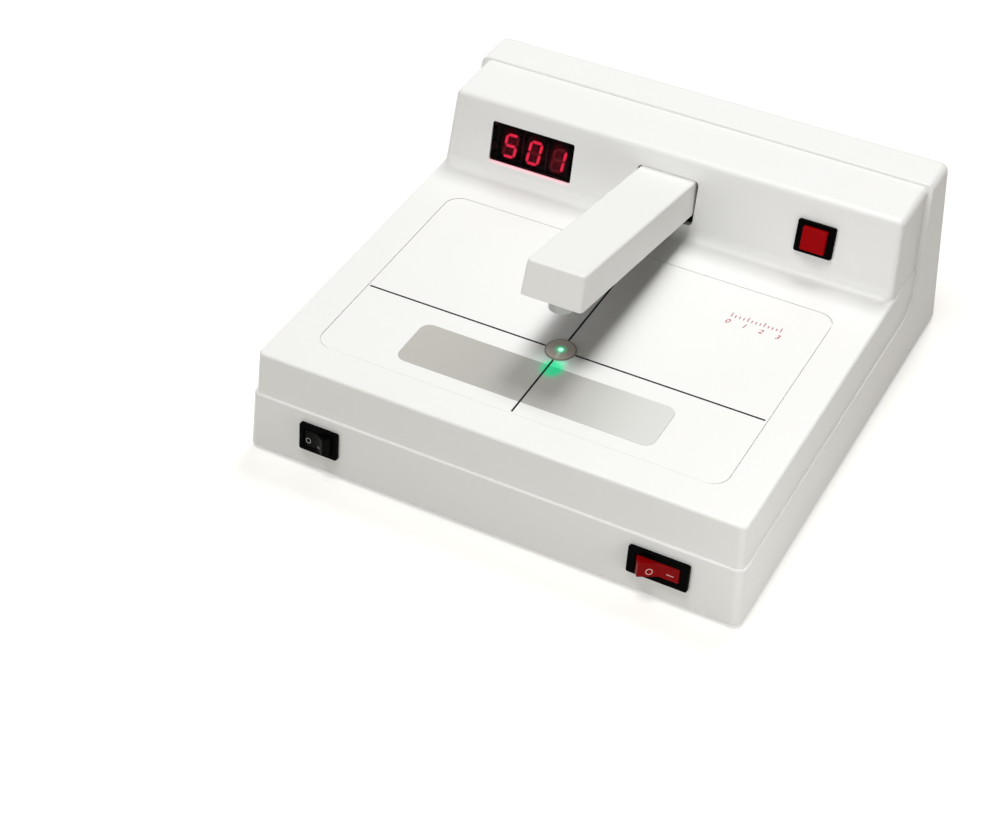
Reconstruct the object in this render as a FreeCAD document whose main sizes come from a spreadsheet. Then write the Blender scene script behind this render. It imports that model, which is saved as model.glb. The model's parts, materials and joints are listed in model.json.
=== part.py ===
"""Photographic densitometer: a desk instrument with a sprung detector arm over a lit deck.

The model is drawn from the front bottom edge of the base: X to the right from the middle, Y to the back
from the front edge, Z up from the underside of the base. Each sub-part is then placed from the part's own
origin, in the middle of the footprint on the surface that the feet stand on.
"""
import FreeCAD, Part
import Sketcher
import math
import os
import re

from FreeCAD import Placement, Rotation, Vector

SIZES = {
    # case: overall outline
    "base_width": 243.9, "base_depth": 239.6, "seam_height": 28.6, "deck_height": 49.8, "riser_rise": 37.4,
    "side_draft": 2.75, "front_draft": 8.0, "rear_draft": 0.4, "riser_side_draft": 3.8,
    "riser_lean": 14.0, "riser_top_inset": 54.5,"riser_foot_inset": 0.8, "seam_top_inset": 23.6,
    "seam_bend": 15.0, "lip_step": 1.2, "wall": 2.5, "corner_round": 4.5, "base_edge_round": 1.0,
    "deck_edge_round": 1.6, "rear_edge_round": 4.0, "riser_corner_round": 3.0, "riser_top_round": 3.5,
    "riser_foot_round": 5.0, "inner_corner_round": 0.5,
    # feet, posts and case screws
    "foot_height": 1.5, "foot_diameter": 14.0, "foot_recess": 1.2, "foot_inset": 20.0,
    "post_diameter": 9.0, "post_inset": 24.0, "post_front_setback": 46.0, "post_back_inset": 81.6,
    "boss_height": 5.0, "screw_diameter": 3.0, "screw_head": 5.6, "screw_head_height": 2.0,
    "case_screw_length": 14.0, "fit_gap": 0.1,
    # printed sheet let into the deck
    "sheet_margin": 22.35, "sheet_front_setback": 25.8, "sheet_back_inset": 86.8,"sheet_gauge": 0.8,
    "sheet_corner": 8.0, "sheet_gap": 0.35, "window_width": 126.0, "window_front_setback": 34.0,
    "window_back_setback": 61.8, "window_corner": 5.0, "cross_setback": 73.1, "ink_gauge": 0.05,
    "ink_width": 0.9, "mark_back_inset": 108.6,"mark_inset": 53.0, "mark_pitch": 2.0, "mark_length": 3.0,
    "mark_short_length": 1.8, "mark_width": 0.4,
    # viewing light
    "diffuser_gauge": 1.5, "light_box_depth": 20.0, "light_box_wall": 1.5, "light_box_rim": 4.0,
    "board_gauge": 1.6, "strip_board_depth": 12.0, "strip_led_size": 3.0, "strip_led_gauge": 1.5,
    # measuring light
    "disc_diameter": 14.5, "disc_gauge": 0.6, "spigot_diameter": 9.0, "spigot_length": 8.0,
    "aperture_diameter": 2.4,"aperture_gauge": 1.5, "led_diameter": 5.0, "led_rim_diameter": 5.8,
    "led_rim_height": 1.0, "led_length": 8.0, "led_board_width": 26.0, "led_board_depth": 12.0,
    "led_post_diameter": 4.0,
    # arm, drawn level, with the nozzle down on the deck
    "arm_rest_angle": 11.3, "pivot_inset": 47.9,"pivot_rise": 16.4, "arm_top_width": 28.4,
    "arm_bottom_width": 30.2, "arm_thickness": 17.0, "arm_front_setback": 62.4, "arm_nose_draft": 6.0,
    "arm_tail": 14.0, "arm_wall": 1.8, "arm_edge_round": 1.2, "arm_nose_round": 2.0, "arm_plate": 1.6,
    "arm_boss_diameter": 6.0, "arm_screw_diameter": 2.5, "arm_screw_head": 4.6, "arm_screw_recess": 0.8,
    "arm_screw_reach": 6.0, "arm_front_screw_setback": 116.0, "arm_back_screw_lead": 23.7,
    "nozzle_diameter": 11.4, "nozzle_bore": 6.0, "nozzle_length": 7.9, "nozzle_gap": 0.2,
    "nozzle_flange": 15.0, "nozzle_flange_gauge": 1.6, "nozzle_round": 0.8, "lens_gauge": 1.5,
    "lens_recess": 0.5, "photodiode_diameter": 8.0, "photodiode_height": 4.0, "sensor_board_width": 20.0,
    "sensor_board_length": 44.0, "sensor_post_diameter": 4.0,
    "pin_diameter": 4.0, "pin_clearance": 0.05, "hub_width": 24.0, "hub_front": 8.0, "hub_back": 7.0,
    "bush_diameter": 8.0, "ear_gap": 33.0, "ear_gauge": 2.0, "ear_width": 12.0,
    "ring_diameter": 7.0, "ring_gauge": 0.8, "bracket_lead": 39.7,"bracket_tail": 16.0,
    "bracket_screw_center": 14.0, "bracket_screw_inset": 6.0, "bracket_screw_pitch": 13.0,
    "bracket_screw_reach": 1.5, "spring_diameter": 6.0, "spring_wire": 0.7, "spring_turns": 6.0,
    "spring_setback": 9.0, "spring_peg_length": 3.0, "stop_diameter": 6.0, "stop_setback": 1.0, "soft_gap": 0.3,
    "opening_width": 31.6, "opening_low_rise": 5.8, "opening_high_rise": 27.8, "opening_corner": 2.5,
    # display
    "display_inset": 50.65, "display_rise": 17.7, "display_width": 44.4, "display_tall": 20.3,
    "display_recess": 0.8, "display_gauge": 1.2, "display_corner": 1.2,
    "digit_pitch": 13.0, "digit_offset": 0.8, "digit_drop": 1.0, "module_width": 12.6, "module_tall": 18.0,
    "module_drop": 0.5, "module_depth": 8.0, "digit_height": 12.7, "digit_width": 7.2, "digit_slant": 8.0,
    "segment_width": 1.4, "segment_gauge": 0.1, "segment_gap": 0.3, "display_post_diameter": 4.0,
    "display_screw_diameter": 2.0, "display_screw_head": 3.6, "display_screw_head_height": 1.4,
    "display_post_inset": 2.6, "display_post_rise": 6.8, "display_board_rim": 3.0,
    # push-button
    "button_inset": 45.75, "button_rise": 18.1, "button_bezel_width": 18.6, "button_bezel_tall": 15.9,
    "button_bezel_gauge": 1.5, "button_bezel_corner": 1.0, "button_body_depth": 16.0,
    "button_cavity_depth": 12.0, "button_cap_width": 11.7, "button_cap_tall": 11.4, "button_cap_corner": 0.5,
    "button_cap_length": 9.6, "button_proud": 2.3, "button_gap": 0.3, "button_wall": 1.0,
    "button_spring_diameter": 6.8, "button_spring_turns": 3.0, "button_pin_diameter": 1.6,
    "button_pin_pitch": 5.8,
    # rocker switches
    "switch_height": 16.6, "switch_bezel_gauge": 2.0, "switch_bezel_corner": 1.0, "switch_wall": 1.2,
    "switch_body_depth": 13.0, "switch_cavity_depth": 9.0, "switch_tilt": 17.0, "rocker_pivot_depth": 0.5,
    "rocker_stub": 2.4, "rocker_gap": 0.3, "rocker_skirt_angle": 22.0, "terminal_length": 6.0,
    "terminal_width": 4.8, "terminal_gauge": 0.8,
    "black_inset": 37.95, "black_bezel_width": 19.6, "black_bezel_tall": 13.8, "black_reach": 7.2,
    "black_paddle_tall": 8.4, "black_terminal_pitch": 7.0,
    "red_inset": 38.5, "red_bezel_width": 28.4, "red_bezel_tall": 13.6, "red_reach": 10.2,
    "red_paddle_tall": 7.2,"red_terminal_pitch": 10.0,
    # mains inlet
    "inlet_inset": 48.0, "inlet_height": 30.0, "inlet_flange_width": 50.0, "inlet_flange_tall": 22.0,
    "inlet_flange_corner": 4.0, "inlet_flange_gauge": 3.0, "inlet_mouth_width": 24.6, "inlet_mouth_tall": 16.8,
    "inlet_mouth_corner": 1.5, "inlet_depth": 17.0, "inlet_wall": 1.5, "inlet_screw_pitch": 40.0,
    "inlet_screw_rise": 1.0, "inlet_screw_length": 8.0, "inlet_pin_recess": 5.0, "inlet_pin_pitch": 14.0,
    "inlet_pin_width": 2.0, "inlet_pin_tall": 4.0, "inlet_earth_lift": 4.0,
    # transformer and main board
    "transformer_center": -62.0, "transformer_setback": 110.0, "transformer_width": 46.0,
    "transformer_depth": 38.0, "transformer_height": 33.0, "bobbin_width": 26.0, "bobbin_overhang": 6.0,
    "main_board_center": 40.0, "main_board_setback": 122.0, "main_board_width": 84.0,
    "main_board_depth": 66.0, "standoff_height": 6.0, "standoff_diameter": 6.0, "standoff_inset": 6.0,
    "board_screw_diameter": 2.5, "board_screw_head": 4.6, "board_screw_head_height": 1.6,
    "board_screw_reach": 5.0, "chip_row": 3.0, "chip_width": 28.0, "chip_depth": 14.0, "chip_height": 3.4,
    "small_chip_width": 13.0, "small_chip_depth": 8.0, "small_chip_spread": 25.0, "power_row": 18.0,
    "heat_sink_width": 25.0, "heat_sink_depth": 5.0, "heat_sink_height": 13.0, "can_diameter": 9.6,
    "can_height": 14.4, "can_spread": 23.0,
}

doc = FreeCAD.newDocument("densitometer")
sheet = doc.addObject("Spreadsheet::Sheet", "Sizes")
for row, (alias, amount) in enumerate(SIZES.items(), start=1):
    sheet.set(f"A{row}", alias)
    sheet.set(f"B{row}", str(amount))
    sheet.setAlias(f"B{row}", alias)
doc.recompute()


class Drawing:
    """The sheet's numbers by name, and the heights and setbacks that follow from them."""


d = Drawing()
for alias in SIZES:
    setattr(d, alias, float(getattr(sheet, alias)))
d.riser_height = d.deck_height + d.riser_rise
d.pivot_height = d.deck_height + d.pivot_rise
d.seam_top_setback = d.base_depth - d.seam_top_inset
d.riser_top_setback = d.base_depth - d.riser_top_inset
d.pivot_setback = d.base_depth - d.pivot_inset
d.sheet_back_setback = d.base_depth - d.sheet_back_inset
d.sheet_width = d.base_width - 2 * d.sheet_margin


def slope(degrees):
    return math.tan(math.radians(degrees))


def base_half(height):
    """Half of the base's width at a height."""
    return d.base_width / 2 - slope(d.side_draft) * height


def base_front(height):
    return slope(d.front_draft) * height


def base_back(height):
    return d.base_depth - slope(d.rear_draft) * height


def riser_face(height):
    return d.riser_top_setback - slope(d.riser_lean) * (d.riser_height - height)


# Bound objects. A rule is a sum in the sheet's aliases, written as text.

ALIASES = re.compile(r"\b(" + "|".join(sorted(SIZES, key=len, reverse=True)) + r")\b")


def bind(item, rules):
    for name, rule in rules.items():
        item.setExpression(name, ALIASES.sub(r"Sizes.\1", rule))
    return item


count = 0


def add(kind, stem):
    """A new object of the document with a name of its own."""
    global count
    count += 1
    return doc.addObject(kind, f"{stem}_{count}")


def block(x, y, z):
    """A box between limits: each of x, y and z is a pair of rules."""
    item = add("Part::Box", "block")
    rules = {}
    for side, axis, (low, high) in (("Length", "x", x), ("Width", "y", y), ("Height", "z", z)):
        rules[side] = f"({high}) - ({low})"
        rules[f"Placement.Base.{axis}"] = low
    return bind(item, rules)


def rod(x, y, z, diameter, length, along="z"):
    """A cylinder from a point along an axis."""
    item = add("Part::Cylinder", "rod")
    turns = {"z": Rotation(), "x": Rotation(Vector(0, 1, 0), 90), "y": Rotation(Vector(1, 0, 0), -90)}
    item.Placement = Placement(Vector(), turns[along])
    return bind(item, {"Radius": f"({diameter}) / 2", "Height": length, "Placement.Base.x": x,
                       "Placement.Base.y": y, "Placement.Base.z": z})


def ball(x, y, z, diameter):
    item = add("Part::Sphere", "ball")
    return bind(item, {"Radius": f"({diameter}) / 2", "Placement.Base.x": x, "Placement.Base.y": y,
                       "Placement.Base.z": z})


def joined(*items):
    item = add("Part::MultiFuse", "joined")
    item.Shapes = list(items)
    return item


def cut(base, *tools):
    item = add("Part::Cut", "cut")
    item.Base = base
    item.Tool = tools[0] if len(tools) == 1 else joined(*tools)
    return item


def together(*items):
    """Several separate solids that make one sub-part."""
    item = add("Part::Compound", "group")
    item.Links = list(items)
    return item


def shaped(shape):
    """A shape that no bound feature gives: its sizes are read from the sheet."""
    item = add("Part::Feature", "shaped")
    item.Shape = shape
    return item


def sketch_on(body, role):
    """A sketch on one of the body's own planes."""
    sketch = body.newObject("Sketcher::SketchObject", f"{body.Name}_sketch")
    plane = next(item for item in body.Origin.OriginFeatures if item.Role == role)
    sketch.AttachmentSupport = (plane, "")
    sketch.MapMode = "FlatFace"
    return sketch


def shift(sketch, **rules):
    """Move a sketch on its plane: x and y along it, z off it."""
    return bind(sketch, {f"AttachmentOffset.Base.{axis}": rule for axis, rule in rules.items()})


def pad(body, sketch, length):
    feature = body.newObject("PartDesign::Pad", f"{sketch.Name}_pad")
    feature.Profile = sketch
    return bind(feature, {"Length": length})


def draw_rectangle(sketch, width, tall):
    """A rectangle about the sketch's origin."""
    corners = (Vector(-1, -1, 0), Vector(1, -1, 0), Vector(1, 1, 0), Vector(-1, 1, 0))
    for side in range(4):
        sketch.addGeometry(Part.LineSegment(corners[side], corners[(side + 1) % 4]), False)
    for side in range(4):
        sketch.addConstraint(Sketcher.Constraint("Coincident", side, 2, (side + 1) % 4, 1))
        sketch.addConstraint(Sketcher.Constraint("Horizontal" if side % 2 == 0 else "Vertical", side))
    sketch.addConstraint(Sketcher.Constraint("Symmetric", 0, 1, 1, 2, -1, 1))
    across = sketch.addConstraint(Sketcher.Constraint("DistanceX", 0, 1, 0, 2, 2.0))
    upward = sketch.addConstraint(Sketcher.Constraint("DistanceY", 1, 1, 1, 2, 2.0))
    bind(sketch, {f"Constraints[{across}]": width, f"Constraints[{upward}]": tall})


def draw_circle(sketch, diameter, aside=None, up=None):
    """A circle about the sketch's origin, or off it by two sizes."""
    circle = sketch.addGeometry(Part.Circle(Vector(2, 1, 0), Vector(0, 0, 1), 0.5), False)
    size = sketch.addConstraint(Sketcher.Constraint("Diameter", circle, 1.0))
    rules = {f"Constraints[{size}]": diameter}
    if aside is None:
        sketch.addConstraint(Sketcher.Constraint("Coincident", circle, 3, -1, 1))
    else:
        for kind, rule in (("DistanceX", aside), ("DistanceY", up)):
            spot = sketch.addConstraint(Sketcher.Constraint(kind, -1, 1, circle, 3, 1.0))
            rules[f"Constraints[{spot}]"] = rule
    bind(sketch, rules)


def fillet(body, radius, chosen):
    """Round the chosen edges of what the body is so far."""
    doc.recompute()
    edges = [f"Edge{number}" for number, edge in enumerate(body.Tip.Shape.Edges, start=1) if chosen(edge)]
    base = body.Tip
    feature = body.newObject("PartDesign::Fillet", f"{body.Name}_fillet")
    feature.Base = (base, edges)
    return bind(feature, {"Radius": radius})


def stands_upright(edge):
    along = edge.tangentAt(edge.FirstParameter)
    return abs(along.z) > 0.999


def plate(x, y, z, corner):
    """A padded rectangle between limits, with its upright edges rounded."""
    body = add("PartDesign::Body", "plate")
    sketch = sketch_on(body, "XY_Plane")
    draw_rectangle(sketch, f"({x[1]}) - ({x[0]})", f"({y[1]}) - ({y[0]})")
    shift(sketch, x=f"(({x[0]}) + ({x[1]})) / 2", y=f"(({y[0]}) + ({y[1]})) / 2", z=z[0])
    pad(body, sketch, f"({z[1]}) - ({z[0]})")
    fillet(body, corner, stands_upright)
    return body


def coil(diameter, wire, turns, low, length):
    """A helical spring about the upright axis, from a height."""
    body = add("PartDesign::Body", "coil")
    sketch = sketch_on(body, "XZ_Plane")
    draw_circle(sketch, wire, f"({diameter} - {wire}) / 2", f"{wire} / 2")
    shift(sketch, y=low)
    helix = body.newObject("PartDesign::AdditiveHelix", f"{body.Name}_helix")
    helix.Profile = sketch
    helix.ReferenceAxis = (sketch, ["V_Axis"])
    helix.Mode = "pitch-height-angle"
    bind(helix, {"Pitch": f"(({length}) - {wire}) / {turns}", "Height": f"({length}) - {wire}"})
    return body


def between(center, size):
    """A pair of rules for a size about a centre."""
    return f"{center} - ({size}) / 2", f"{center} + ({size}) / 2"


def both_sides(rule):
    return f"-({rule})", f"{rule}"


def corners_of(x_rules, y_rules):
    return [(x, y) for x in x_rules for y in y_rules]


# Frames on the sloping walls.

def wall_frame(x, y, height, lean):
    """On a wall that faces the front: X right, Y up the wall, Z out of it."""
    return Placement(Vector(x, y, height), Rotation(Vector(1, 0, 0), 90 - lean))


def riser_frame(x, height):
    return wall_frame(x, riser_face(height), height, d.riser_lean)


def back_frame(x, height):
    """On the back wall, seen from behind: X to the left of the part, Y up, Z out."""
    turn = Rotation(Vector(0, 0, 1), 180).multiply(Rotation(Vector(1, 0, 0), 90 - d.rear_draft))
    return Placement(Vector(x, base_back(height), height), turn)


class Switch:
    """The sizes of one rocker switch, on its own frame on the front wall."""

    def __init__(self, color, resting_side):
        self.color = color
        self.reach = getattr(d, f"{color}_reach")
        self.paddle_half = getattr(d, f"{color}_paddle_tall") / 2
        self.body_half = tuple(half + d.rocker_gap + d.switch_wall for half in (self.reach, self.paddle_half))
        self.tilt = resting_side * d.switch_tilt
        center = -resting_side * (d.base_width / 2 - getattr(d, f"{color}_inset"))
        self.frame = wall_frame(center, base_front(d.switch_height), d.switch_height, d.front_draft)

    def corner(self):
        """The level paddle's end corner, from its pin: the end's round meets the rising flat there."""
        tilt = slope(d.switch_tilt)
        valley = (d.switch_bezel_gauge + d.rocker_pivot_depth) * math.hypot(1, tilt)
        square = 1 + tilt * tilt
        x = (math.sqrt(square * self.reach ** 2 - valley ** 2) - valley * tilt) / square
        return Vector(x, 0, valley + x * tilt)

    def rocking(self, angle):
        """The paddle's place in the switch when it is turned about its pin."""
        return Placement(Vector(0, 0, -d.rocker_pivot_depth), Rotation(Vector(0, 1, 0), angle))

    def front_point(self):
        corner = self.rocking(-d.switch_tilt).multVec(self.corner() - Vector(0, self.paddle_half, 0))
        return self.frame.multVec(corner).y


SWITCHES = (Switch("black", 1), Switch("red", -1))
INLET = back_frame(d.base_width / 2 - d.inlet_inset, d.inlet_height)
DISPLAY = riser_frame(d.display_inset - d.base_width / 2, d.deck_height + d.display_rise)
BUTTON = riser_frame(d.base_width / 2 - d.button_inset, d.deck_height + d.button_rise)
ARM_PIN = Vector(0, d.pivot_setback, d.pivot_height)
ARM = Placement(Vector(), Rotation(Vector(1, 0, 0), -d.arm_rest_angle), ARM_PIN)

# The origin is midway between the front-most and rear-most points: a raised paddle and the inlet's screws.
REAR_POINT = INLET.multVec(Vector(0, -d.screw_head / 2, d.inlet_flange_gauge + d.inlet_screw_rise)).y
FRONT_POINT = min(switch.front_point() for switch in SWITCHES)
HOME = Placement(Vector(0, -(FRONT_POINT + REAR_POINT) / 2, d.foot_height), Rotation())
nodes = {}


def node(label, item, frame=Placement()):
    """Name a sub-part and put it in place."""
    if item.TypeId in ("Part::Box", "Part::Cylinder"):
        item = together(item)
    item.Label = label
    item.Placement = HOME.multiply(frame)
    nodes[label] = item


# Shapes for the drafted mouldings, with sizes read from the sheet.

def outline(half, front, back, height, front_round, back_round):
    """A flat rectangle at a height, starting at the front left, with rounded or square corners."""
    corners = ((-half, front, front_round, 180), (half, front, front_round, 270),
               (half, back, back_round, 0), (-half, back, back_round, 90))
    arcs = []
    for x, y, radius, start in corners:
        middle = Vector(x - math.copysign(radius, x), y + (radius if y == front else -radius), height)
        turns = [math.radians(start + turn) for turn in (0, 45, 90)]
        arcs.append([middle + Vector(math.cos(turn), math.sin(turn), 0) * radius for turn in turns])
    edges = []
    for here, (first, middle, last) in enumerate(arcs):
        if first != last:
            edges.append(Part.Arc(first, middle, last).toShape())
        edges.append(Part.LineSegment(last, arcs[(here + 1) % 4][0]).toShape())
    return Part.Wire(edges)


def tapered(outlines):
    """A solid through flat outlines that lie one above the other."""
    return Part.makeLoft(outlines, True, True)


def rounded(solid, radius, chosen):
    return solid.makeFillet(radius, [edge for edge in solid.Edges if chosen(edge)])


def lies_at(height, before=math.inf):
    """Chooses the edges of a flat top or bottom that start in front of a setback."""
    def test(edge):
        box = edge.BoundBox
        return abs(box.ZMin - height) < 1e-4 and abs(box.ZMax - height) < 1e-4 and box.YMin < before - 1e-4
    return test


def round_plate(half, front, back, radius, low, high):
    face = Part.Face(outline(half, front, back, low, radius, radius))
    return face.extrude(Vector(0, 0, high - low))


def hole(frame, half, tall_half, radius=0.0):
    """A straight cutter through a wall, on the wall's own frame."""
    cutter = round_plate(half, -tall_half, tall_half, radius, -2 * d.wall, 2 * d.wall)
    cutter.Placement = frame
    return cutter


def upright(x, y, diameter, low, high):
    return Part.makeCylinder(diameter / 2, high - low, Vector(x, y, low))


def mirrored(x, *setbacks):
    return [(side * x, y) for y in setbacks for side in (-1, 1)]


# Case: a base with the back wall, and a deck with the riser, parted along one seam.

LIP_TOP = d.riser_height + d.lip_step
DECK_UNDER = d.deck_height - d.wall
SHEET_LOW = d.deck_height - d.sheet_gauge
ROOF = d.riser_height - d.wall
POST_JOINT = d.wall + d.boss_height
STANDOFF_TOP = d.wall + d.standoff_height
BEHIND = base_back(LIP_TOP) - 2 * d.wall
POSTS = mirrored(d.base_width / 2 - d.post_inset, d.post_front_setback, d.base_depth - d.post_back_inset)
FEET = mirrored(d.base_width / 2 - d.foot_inset, d.foot_inset, d.base_depth - d.foot_inset)
BOARD_REACH = (d.main_board_width / 2 - d.standoff_inset, d.main_board_depth / 2 - d.standoff_inset)
STANDOFFS = [(d.main_board_center + x, d.main_board_setback + y) for x, y in
             mirrored(BOARD_REACH[0], -BOARD_REACH[1], BOARD_REACH[1])]
BRACKET_SCREW_FRONT = d.pivot_setback - d.bracket_lead + d.bracket_screw_inset
BRACKET_SCREWS = mirrored(d.bracket_screw_center, BRACKET_SCREW_FRONT,
                          BRACKET_SCREW_FRONT + d.bracket_screw_pitch)
DISPLAY_POSTS = mirrored(d.display_width / 2 + d.display_post_inset, -d.display_post_rise, d.display_post_rise)
DISPLAY_FACE = d.display_recess + d.display_gauge + d.segment_gauge + d.fit_gap
BUTTON_BODY = [size / 2 + d.button_gap + d.button_wall for size in (d.button_cap_width, d.button_cap_tall)]


def behind_seam(offset):
    """What lies below the seam and behind it, at a distance from it."""
    height = d.seam_height - offset
    lean = math.radians(d.riser_lean)
    up = Vector(0, math.sin(lean), math.cos(lean))
    turn = math.radians(90 - d.riser_lean)
    corner_setback = d.seam_top_setback - math.tan(lean) * (d.riser_height - height) + offset / math.cos(lean)
    corner = Vector(0, corner_setback, height)
    radius = d.seam_bend + offset
    reach = radius * math.tan(turn / 2)
    start = corner - Vector(0, reach, 0)
    end = corner + up * reach
    middle = start + Vector(0, 0, radius) + Vector(0, math.sin(turn / 2), -math.cos(turn / 2)) * radius
    far = 2 * d.base_depth
    top = end + up * LIP_TOP
    spots = [end, top, Vector(0, far, top.z), Vector(0, far, -far), Vector(0, -far, -far),
             Vector(0, -far, height), start]
    edges = [Part.LineSegment(here, there).toShape() for here, there in zip(spots, spots[1:])]
    edges.append(Part.Arc(start, middle, end).toShape())
    side = Part.Face(Part.Wire(edges))
    side.translate(Vector(-d.base_width, 0, 0))
    return side.extrude(Vector(2 * d.base_width, 0, 0))


def base_block(inset):
    """The tapered box of the base and back, or its hollow at an inset."""
    low, high = inset, LIP_TOP - inset
    corner = d.corner_round - inset
    solid = tapered([outline(base_half(level) - inset, base_front(level) + inset, base_back(level) - inset,
                             level, corner, corner) for level in (low, high)])
    solid = rounded(solid, d.rear_edge_round - inset, lies_at(high))
    return solid if inset else rounded(solid, d.base_edge_round, lies_at(low))


def deck_block(inset):
    """The deck's tapered box, or its hollow at an inset."""
    low, high = d.seam_height / 2, d.deck_height - inset
    step = d.lip_step + inset
    solid = tapered([outline(base_half(level) - step, base_front(level) + step, BEHIND, level,
                             d.corner_round - step, 0) for level in (low, high)])
    return solid if inset else rounded(solid, d.deck_edge_round, lies_at(high, BEHIND))


def riser_half(height):
    foot = base_half(d.deck_height) - d.lip_step - d.riser_foot_inset
    return foot - slope(d.riser_side_draft) * (height - d.deck_height)


def foot_flare(height):
    """How far the round at the riser's foot stands out in front of the riser's face."""
    left = max(d.riser_foot_round - (height - d.deck_height), 0)
    return d.riser_foot_round - math.sqrt(d.riser_foot_round ** 2 - left ** 2)


def riser_block():
    """The leaning front part of the riser, flared into the deck at its foot."""
    flare_steps = 8
    rises = [d.riser_foot_round * (step / flare_steps) ** 2 for step in range(flare_steps + 1)]
    levels = [d.deck_height + rise for rise in rises] + [d.riser_height]
    wires = [outline(riser_half(d.deck_height), riser_face(d.deck_height) - d.riser_foot_round, BEHIND,
                     DECK_UNDER, d.riser_corner_round + d.riser_foot_round, 0)]
    for level in levels:
        flare = foot_flare(level)
        wires.append(outline(riser_half(level), riser_face(level) - flare, BEHIND, level,
                             d.riser_corner_round + flare, 0))
    return rounded(tapered(wires), d.riser_top_round, lies_at(d.riser_height, BEHIND))


def riser_hollow():
    gauge = d.wall / math.cos(math.radians(d.riser_lean))
    corner = max(d.riser_corner_round - d.wall, d.inner_corner_round)
    return tapered([outline(riser_half(level) - d.wall, riser_face(level) + gauge, BEHIND, level, corner, 0)
                    for level in (d.seam_height / 2, ROOF)])


def make_base_shell():
    shell = base_block(0).common(behind_seam(0))
    shell = shell.cut(base_block(d.wall).common(behind_seam(d.wall)))
    shell = shell.cut([deck_block(d.wall), riser_hollow()])
    bosses = [upright(x, y, d.post_diameter, d.wall / 2, POST_JOINT) for x, y in POSTS]
    bosses += [upright(x, y, d.standoff_diameter, d.wall / 2, STANDOFF_TOP) for x, y in STANDOFFS]
    cutters = []
    for x, y in POSTS:
        cutters.append(upright(x, y, d.screw_diameter, -d.wall, POST_JOINT + d.wall))
        cutters.append(upright(x, y, d.screw_head, -d.wall, d.screw_head_height + d.fit_gap))
    for x, y in FEET:
        cutters.append(upright(x, y, d.foot_diameter, -d.wall, d.foot_recess))
    for x, y in STANDOFFS:
        cutters.append(upright(x, y, d.board_screw_diameter, STANDOFF_TOP - d.board_screw_reach,
                               STANDOFF_TOP + d.wall))
    for switch in SWITCHES:
        cutters.append(hole(switch.frame, *[half + d.fit_gap for half in switch.body_half]))
    cutters.append(hole(INLET, d.inlet_mouth_width / 2 + d.inlet_wall + d.fit_gap,
                        d.inlet_mouth_tall / 2 + d.inlet_wall + d.fit_gap))
    for side in (-1, 1):
        screw_hole = upright(side * d.inlet_screw_pitch / 2, 0, d.screw_diameter, -2 * d.wall, 2 * d.wall)
        screw_hole.Placement = INLET
        cutters.append(screw_hole)
    return shell.fuse(bosses).cut(cutters).removeSplitter()


def make_top_shell():
    shell = deck_block(0).fuse(riser_block()).removeSplitter()
    shell = shell.cut([deck_block(d.wall), riser_hollow()]).cut(behind_seam(0))
    posts = [upright(x, y, d.post_diameter, POST_JOINT, d.deck_height - d.wall / 2) for x, y in POSTS]
    peg = d.spring_diameter - 2 * (d.spring_wire + d.soft_gap)
    posts.append(upright(0, d.pivot_setback + d.spring_setback, peg, ROOF - d.spring_peg_length,
                         ROOF + d.wall / 2))
    board_face = DISPLAY_FACE + d.module_depth
    cutters = []
    for x, y in DISPLAY_POSTS:
        post = upright(x, y, d.display_post_diameter, -board_face, -d.wall / 2)
        pilot = upright(x, y, d.display_screw_diameter, -board_face, d.board_screw_reach - board_face)
        post.Placement = DISPLAY
        pilot.Placement = DISPLAY
        posts.append(post)
        cutters.append(pilot)
    cutters.append(round_plate(d.sheet_width / 2 + d.sheet_gap, d.sheet_front_setback - d.fit_gap,
                               d.sheet_back_setback + d.sheet_gap, d.sheet_corner, SHEET_LOW,
                               d.deck_height + d.wall))
    cutters.append(round_plate(d.window_width / 2, d.window_front_setback, d.window_back_setback,
                               d.window_corner, DECK_UNDER - d.wall, d.deck_height))
    cutters.append(upright(0, d.cross_setback, d.spigot_diameter, DECK_UNDER - d.wall, d.deck_height))
    for x, y in POSTS:
        cutters.append(upright(x, y, d.screw_diameter, POST_JOINT, d.fit_gap + d.case_screw_length))
    for x, y in BRACKET_SCREWS:
        cutters.append(upright(x, y, d.screw_diameter, DECK_UNDER, DECK_UNDER + d.bracket_screw_reach))
    middle = d.deck_height + (d.opening_low_rise + d.opening_high_rise) / 2
    tall_half = (d.opening_high_rise - d.opening_low_rise) / 2
    opening = round_plate(d.opening_width / 2, -tall_half, tall_half, d.opening_corner, -4 * d.wall, 4 * d.wall)
    opening.Placement = wall_frame(0, riser_face(middle), middle, 0)
    cutters.append(opening)
    cutters.append(hole(DISPLAY, d.display_width / 2, d.display_tall / 2, d.display_corner))
    cutters.append(hole(BUTTON, *[half + d.fit_gap for half in BUTTON_BODY]))
    return shell.fuse(posts).cut(cutters).removeSplitter()


node("base_shell", shaped(make_base_shell()))
node("top_shell", shaped(make_top_shell()))


def screw(x, y, low, head, head_height, diameter, length):
    """A screw that points up, from the underside of its head."""
    return joined(rod(x, y, low, head, head_height), rod(x, y, low, diameter, length))


foot_spots = corners_of(both_sides("base_width / 2 - foot_inset"), ("foot_inset", "base_depth - foot_inset"))
post_spots = corners_of(both_sides("base_width / 2 - post_inset"),
                        ("post_front_setback", "base_depth - post_back_inset"))
node("feet", together(*[rod(x, y, "-foot_height", "foot_diameter", "foot_height + foot_recess")
                        for x, y in foot_spots]))
node("case_screws", together(*[screw(x, y, "fit_gap", "screw_head", "screw_head_height", "screw_diameter",
                                     "case_screw_length") for x, y in post_spots]))

# Printed sheet let into the deck, with its window and what is printed on it.

SHEET_HALF = "(base_width / 2 - sheet_margin)"
SHEET_Z = ("deck_height - sheet_gauge", "deck_height")
WINDOW_Y = ("window_front_setback", "window_back_setback")


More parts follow.
